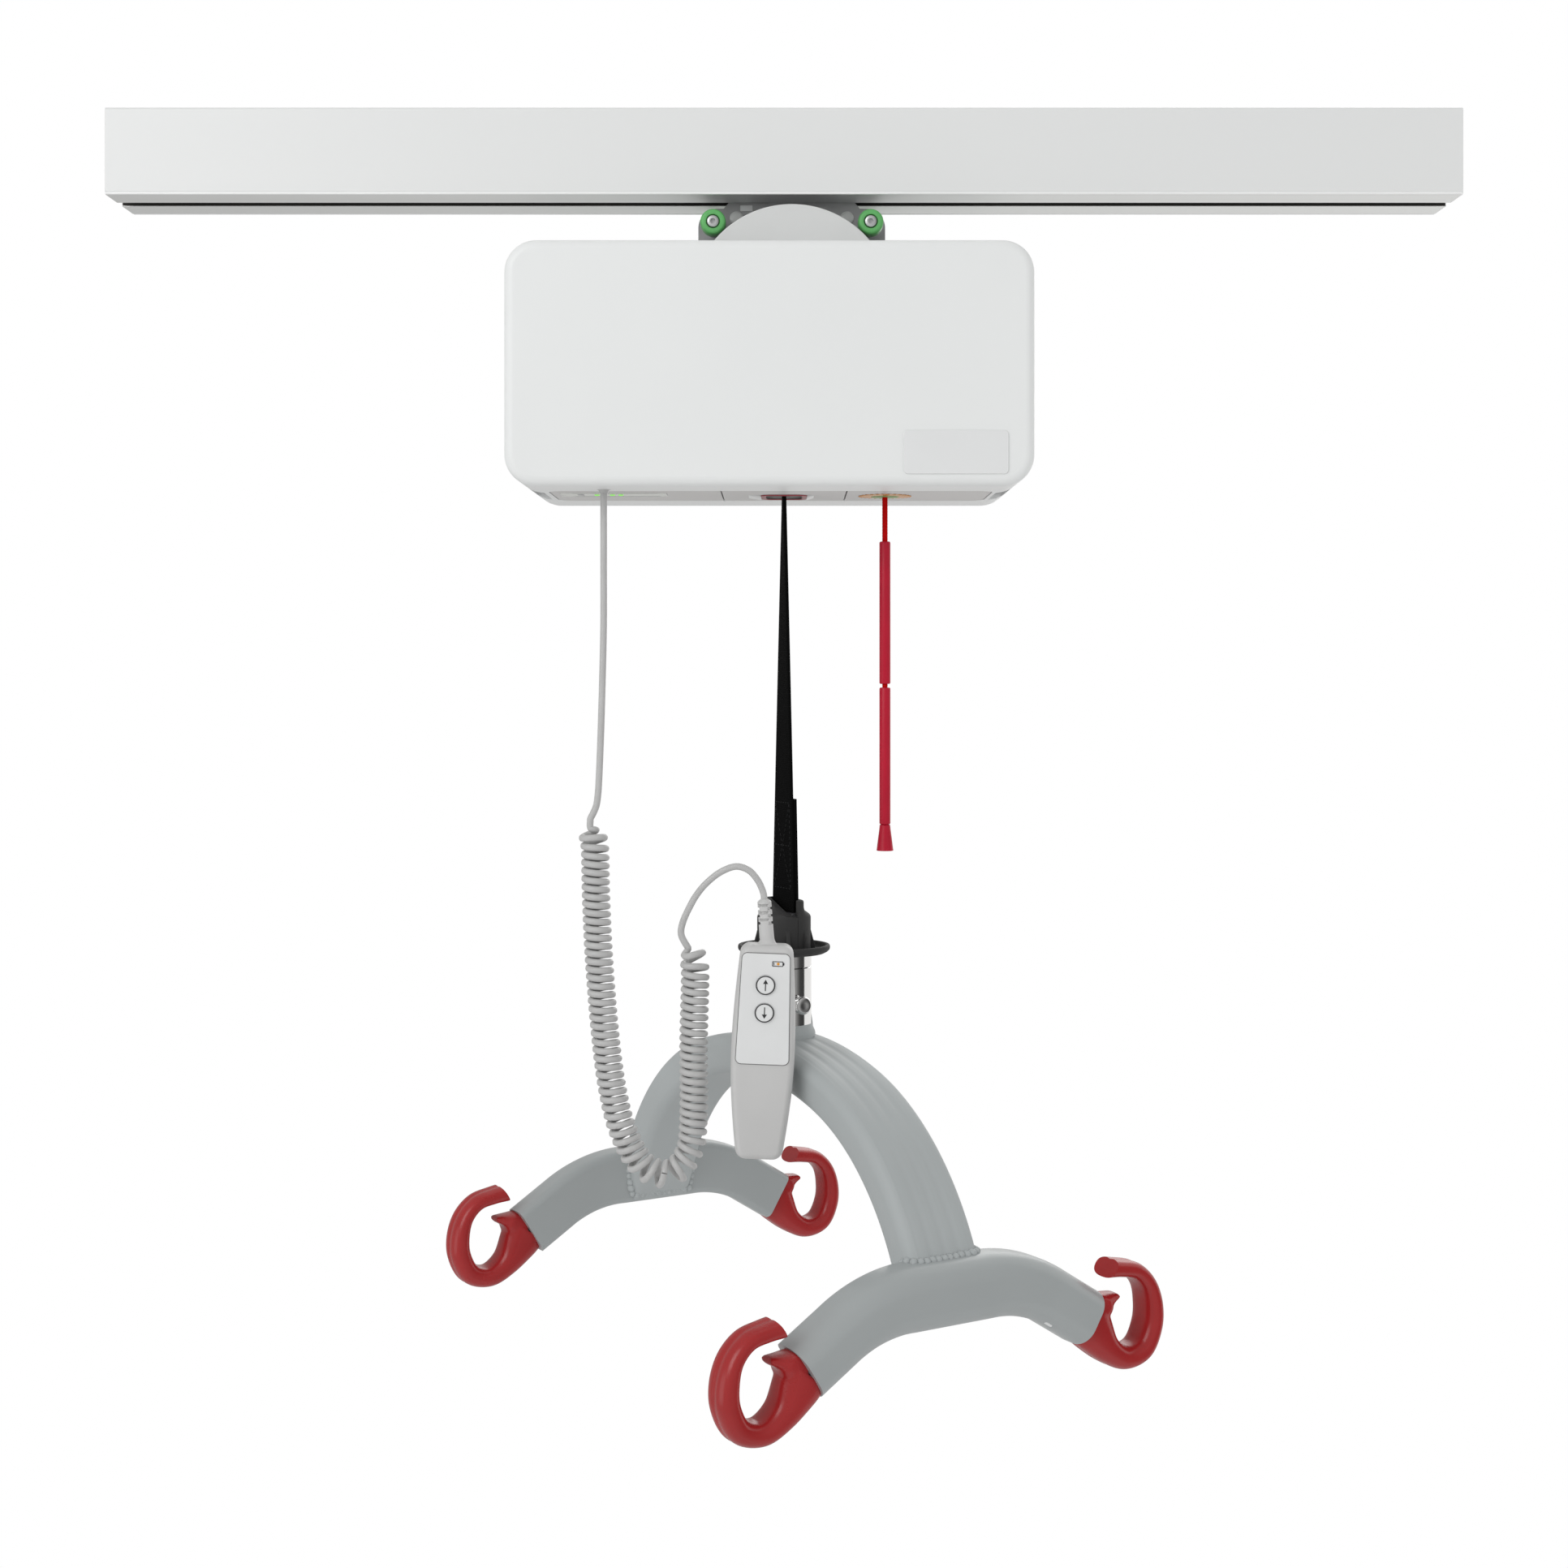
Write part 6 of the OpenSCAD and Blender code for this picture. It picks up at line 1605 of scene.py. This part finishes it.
# Stage: brightness that polished pieces mirror, from left to right, before and behind the hoist
ROOM_WALLS = ((-1.0, 0.45), (-0.6, 0.62), (0.0, 0.55), (0.5, 0.42), (0.8, 0.3), (0.93, 0.07), (1.0, 0.05))
ROOM_BACKDROP = ((-1.0, 0.48), (-0.3, 0.54), (0.0, 0.8), (0.3, 1.06), (1.0, 1.06))
WHITE = (1, 1, 1, 1)
# Lamps: place, aim, size in metres and power in watts
LAMPS = {
    "key": ((-1.7, -2.1, 0.9), (0, 0, -0.45), 1.8, 26),
    "fill": ((2.2, -1.8, -0.2), (0, 0, -0.5), 2.0, 8),
    "bounce": ((1.3, -0.8, -1.9), (0, 0, -0.3), 1.6, 2.5),
    "side": ((-2.0, -0.8, -1.0), (0, 0, -0.7), 1.2, 4),
    "rim": ((0.6, 1.9, 0.4), (0, 0, -0.5), 1.6, 10),
}
UNMIRRORED_LAMPS = ("fill", "bounce")
EVEN_LIGHT, ROOM_LIGHT, BACKDROP_LIGHT = 0.62, 0.9, 1.0
# Camera: side, focal length and shift of the photograph in pixels, sensor in millimetres, place in metres
PHOTO_SIDE, PHOTO_FOCUS, PHOTO_SHIFT, SENSOR = 1932, 2700, -136, 36
EYE_AT = (0, -1.593, -0.403)
# Floor: radius, level and thickness in millimetres, and the distances in metres between which it fades
FLOOR_R, FLOOR_Z, FLOOR_T = 3600, -2800, 20
FLOOR_FADE = (0.5, 3.3)


def studio_world():
    """White for the camera, an even light on the object, and a graded room for mirrored rays"""
    world = bpy.data.worlds.new("studio")
    world.use_nodes = True
    tree = world.node_tree
    tree.nodes.clear()
    out = add(tree, "ShaderNodeOutputWorld")
    rays = add(tree, "ShaderNodeLightPath")
    way = add(tree, "ShaderNodeTexCoord")
    split = add(tree, "ShaderNodeSeparateXYZ")
    side = add(tree, "ShaderNodeMapRange", {"From Min": -1.0})
    beyond = add(tree, "ShaderNodeMapRange", {"From Min": 0.06, "From Max": 0.16})
    around = add(tree, "ShaderNodeMix", data_type="RGBA")
    wire(tree, (way, "Generated", split, 0), (split, "X", side, "Value"), (split, "Y", beyond, "Value"),
         (beyond, "Result", around, "Factor"))
    for stops, share in ((ROOM_WALLS, "A"), (ROOM_BACKDROP, "B")):
        wall = add(tree, "ShaderNodeValToRGB")
        tones = wall.color_ramp.elements
        tones.remove(tones[1])
        for i, (x, level) in enumerate(stops):
            stop = tones.new((x + 1)/2) if i else tones[0]
            stop.color = (level, level*0.99, level*0.97, 1)
        wire(tree, (side, "Result", wall, "Fac"), (wall, "Color", around, share))
    even = add(tree, "ShaderNodeBackground", {"Color": WHITE, "Strength": EVEN_LIGHT})
    room = add(tree, "ShaderNodeBackground", {"Strength": ROOM_LIGHT})
    backdrop = add(tree, "ShaderNodeBackground", {"Color": WHITE, "Strength": BACKDROP_LIGHT})
    glint = add(tree, "ShaderNodeMixShader")
    mix = add(tree, "ShaderNodeMixShader")
    wire(tree, (around, "Result", room, "Color"), (rays, "Is Glossy Ray", glint, 0), (even, 0, glint, 1),
         (room, 0, glint, 2), (rays, "Is Camera Ray", mix, 0), (glint, 0, mix, 1), (backdrop, 0, mix, 2),
         (mix, 0, out, "Surface"))
    return world


class HOIST_OT_stage(bpy.types.Operator):
    """Makes the camera, the soft studio light and the floor"""
    bl_idname = "hoist.stage"
    bl_label = "Stage"

    def execute(self, context):
        scene = context.scene
        scene.view_settings.view_transform = "Standard"
        camera = bpy.data.cameras.new("camera")
        camera.sensor_width = SENSOR
        camera.lens = SENSOR*PHOTO_FOCUS/PHOTO_SIDE
        camera.shift_y = PHOTO_SHIFT/PHOTO_SIDE
        camera.clip_start = 0.05
        eye = add_object("camera", camera)
        eye.location = EYE_AT
        eye.rotation_euler = (math.pi/2, 0, 0)
        scene.camera = eye
        for name, (at, target, size, power) in LAMPS.items():
            lamp = bpy.data.lights.new(name, "AREA")
            lamp.shape = "SQUARE"
            lamp.size = size
            lamp.energy = power
            holder = add_object(name, lamp)
            holder.location = at
            holder.rotation_euler = (Vector(target) - Vector(at)).to_track_quat("-Z", "Y").to_euler()
            holder.visible_glossy = name not in UNMIRRORED_LAMPS
        scene.world = studio_world()
        disc = slab(circle(FLOOR_R, 64), FLOOR_Z - FLOOR_T, FLOOR_Z, 0, flat)
        ground = make("studio_ground", disc, fading_floor("studio_floor", (0.80, 0.80, 0.80)))
        return {"FINISHED"}


STEPS = (HOIST_OT_stage, HOIST_OT_hand_cord, HOIST_OT_pull_cord, HOIST_OT_strap, HOIST_OT_rail,
         HOIST_OT_trolley, HOIST_OT_housing, HOIST_OT_underside, HOIST_OT_coupling, HOIST_OT_stem,
         HOIST_OT_sling_bar, HOIST_OT_hooks, HOIST_OT_handset, HOIST_OT_inner_parts)


class HOIST_PT_panel(bpy.types.Panel):
    """Lists the pieces of the hoist"""
    bl_idname = "HOIST_PT_panel"
    bl_label = "Ceiling track hoist"
    bl_space_type = "VIEW_3D"
    bl_region_type = "UI"
    bl_category = "Hoist"

    def draw(self, context):
        scene = context.scene
        for step in STEPS:
            self.layout.operator(step.bl_idname)
        for group, owner in ((scene.hoist_sizes, HoistSizes), (scene.hoist_colours, HoistColours)):
            column = self.layout.column(align=True)
            for key in owner.__annotations__:
                column.prop(group, key)


CLASSES = (HoistSizes, HoistColours) + STEPS + (HOIST_PT_panel,)


def register():
    """Registers the classes and the scene's settings"""
    for cls in CLASSES:
        bpy.utils.register_class(cls)
    bpy.types.Scene.hoist_sizes = PointerProperty(type=HoistSizes)
    bpy.types.Scene.hoist_colours = PointerProperty(type=HoistColours)


def unregister():
    """Takes the settings and the classes out again"""
    del bpy.types.Scene.hoist_colours
    del bpy.types.Scene.hoist_sizes
    for cls in reversed(CLASSES):
        bpy.utils.unregister_class(cls)


def main():
    """Makes every piece in order"""
    register()
    for step in STEPS:
        getattr(bpy.ops.hoist, step.bl_idname.split(".")[1])()


if __name__ == "__main__":
    main()
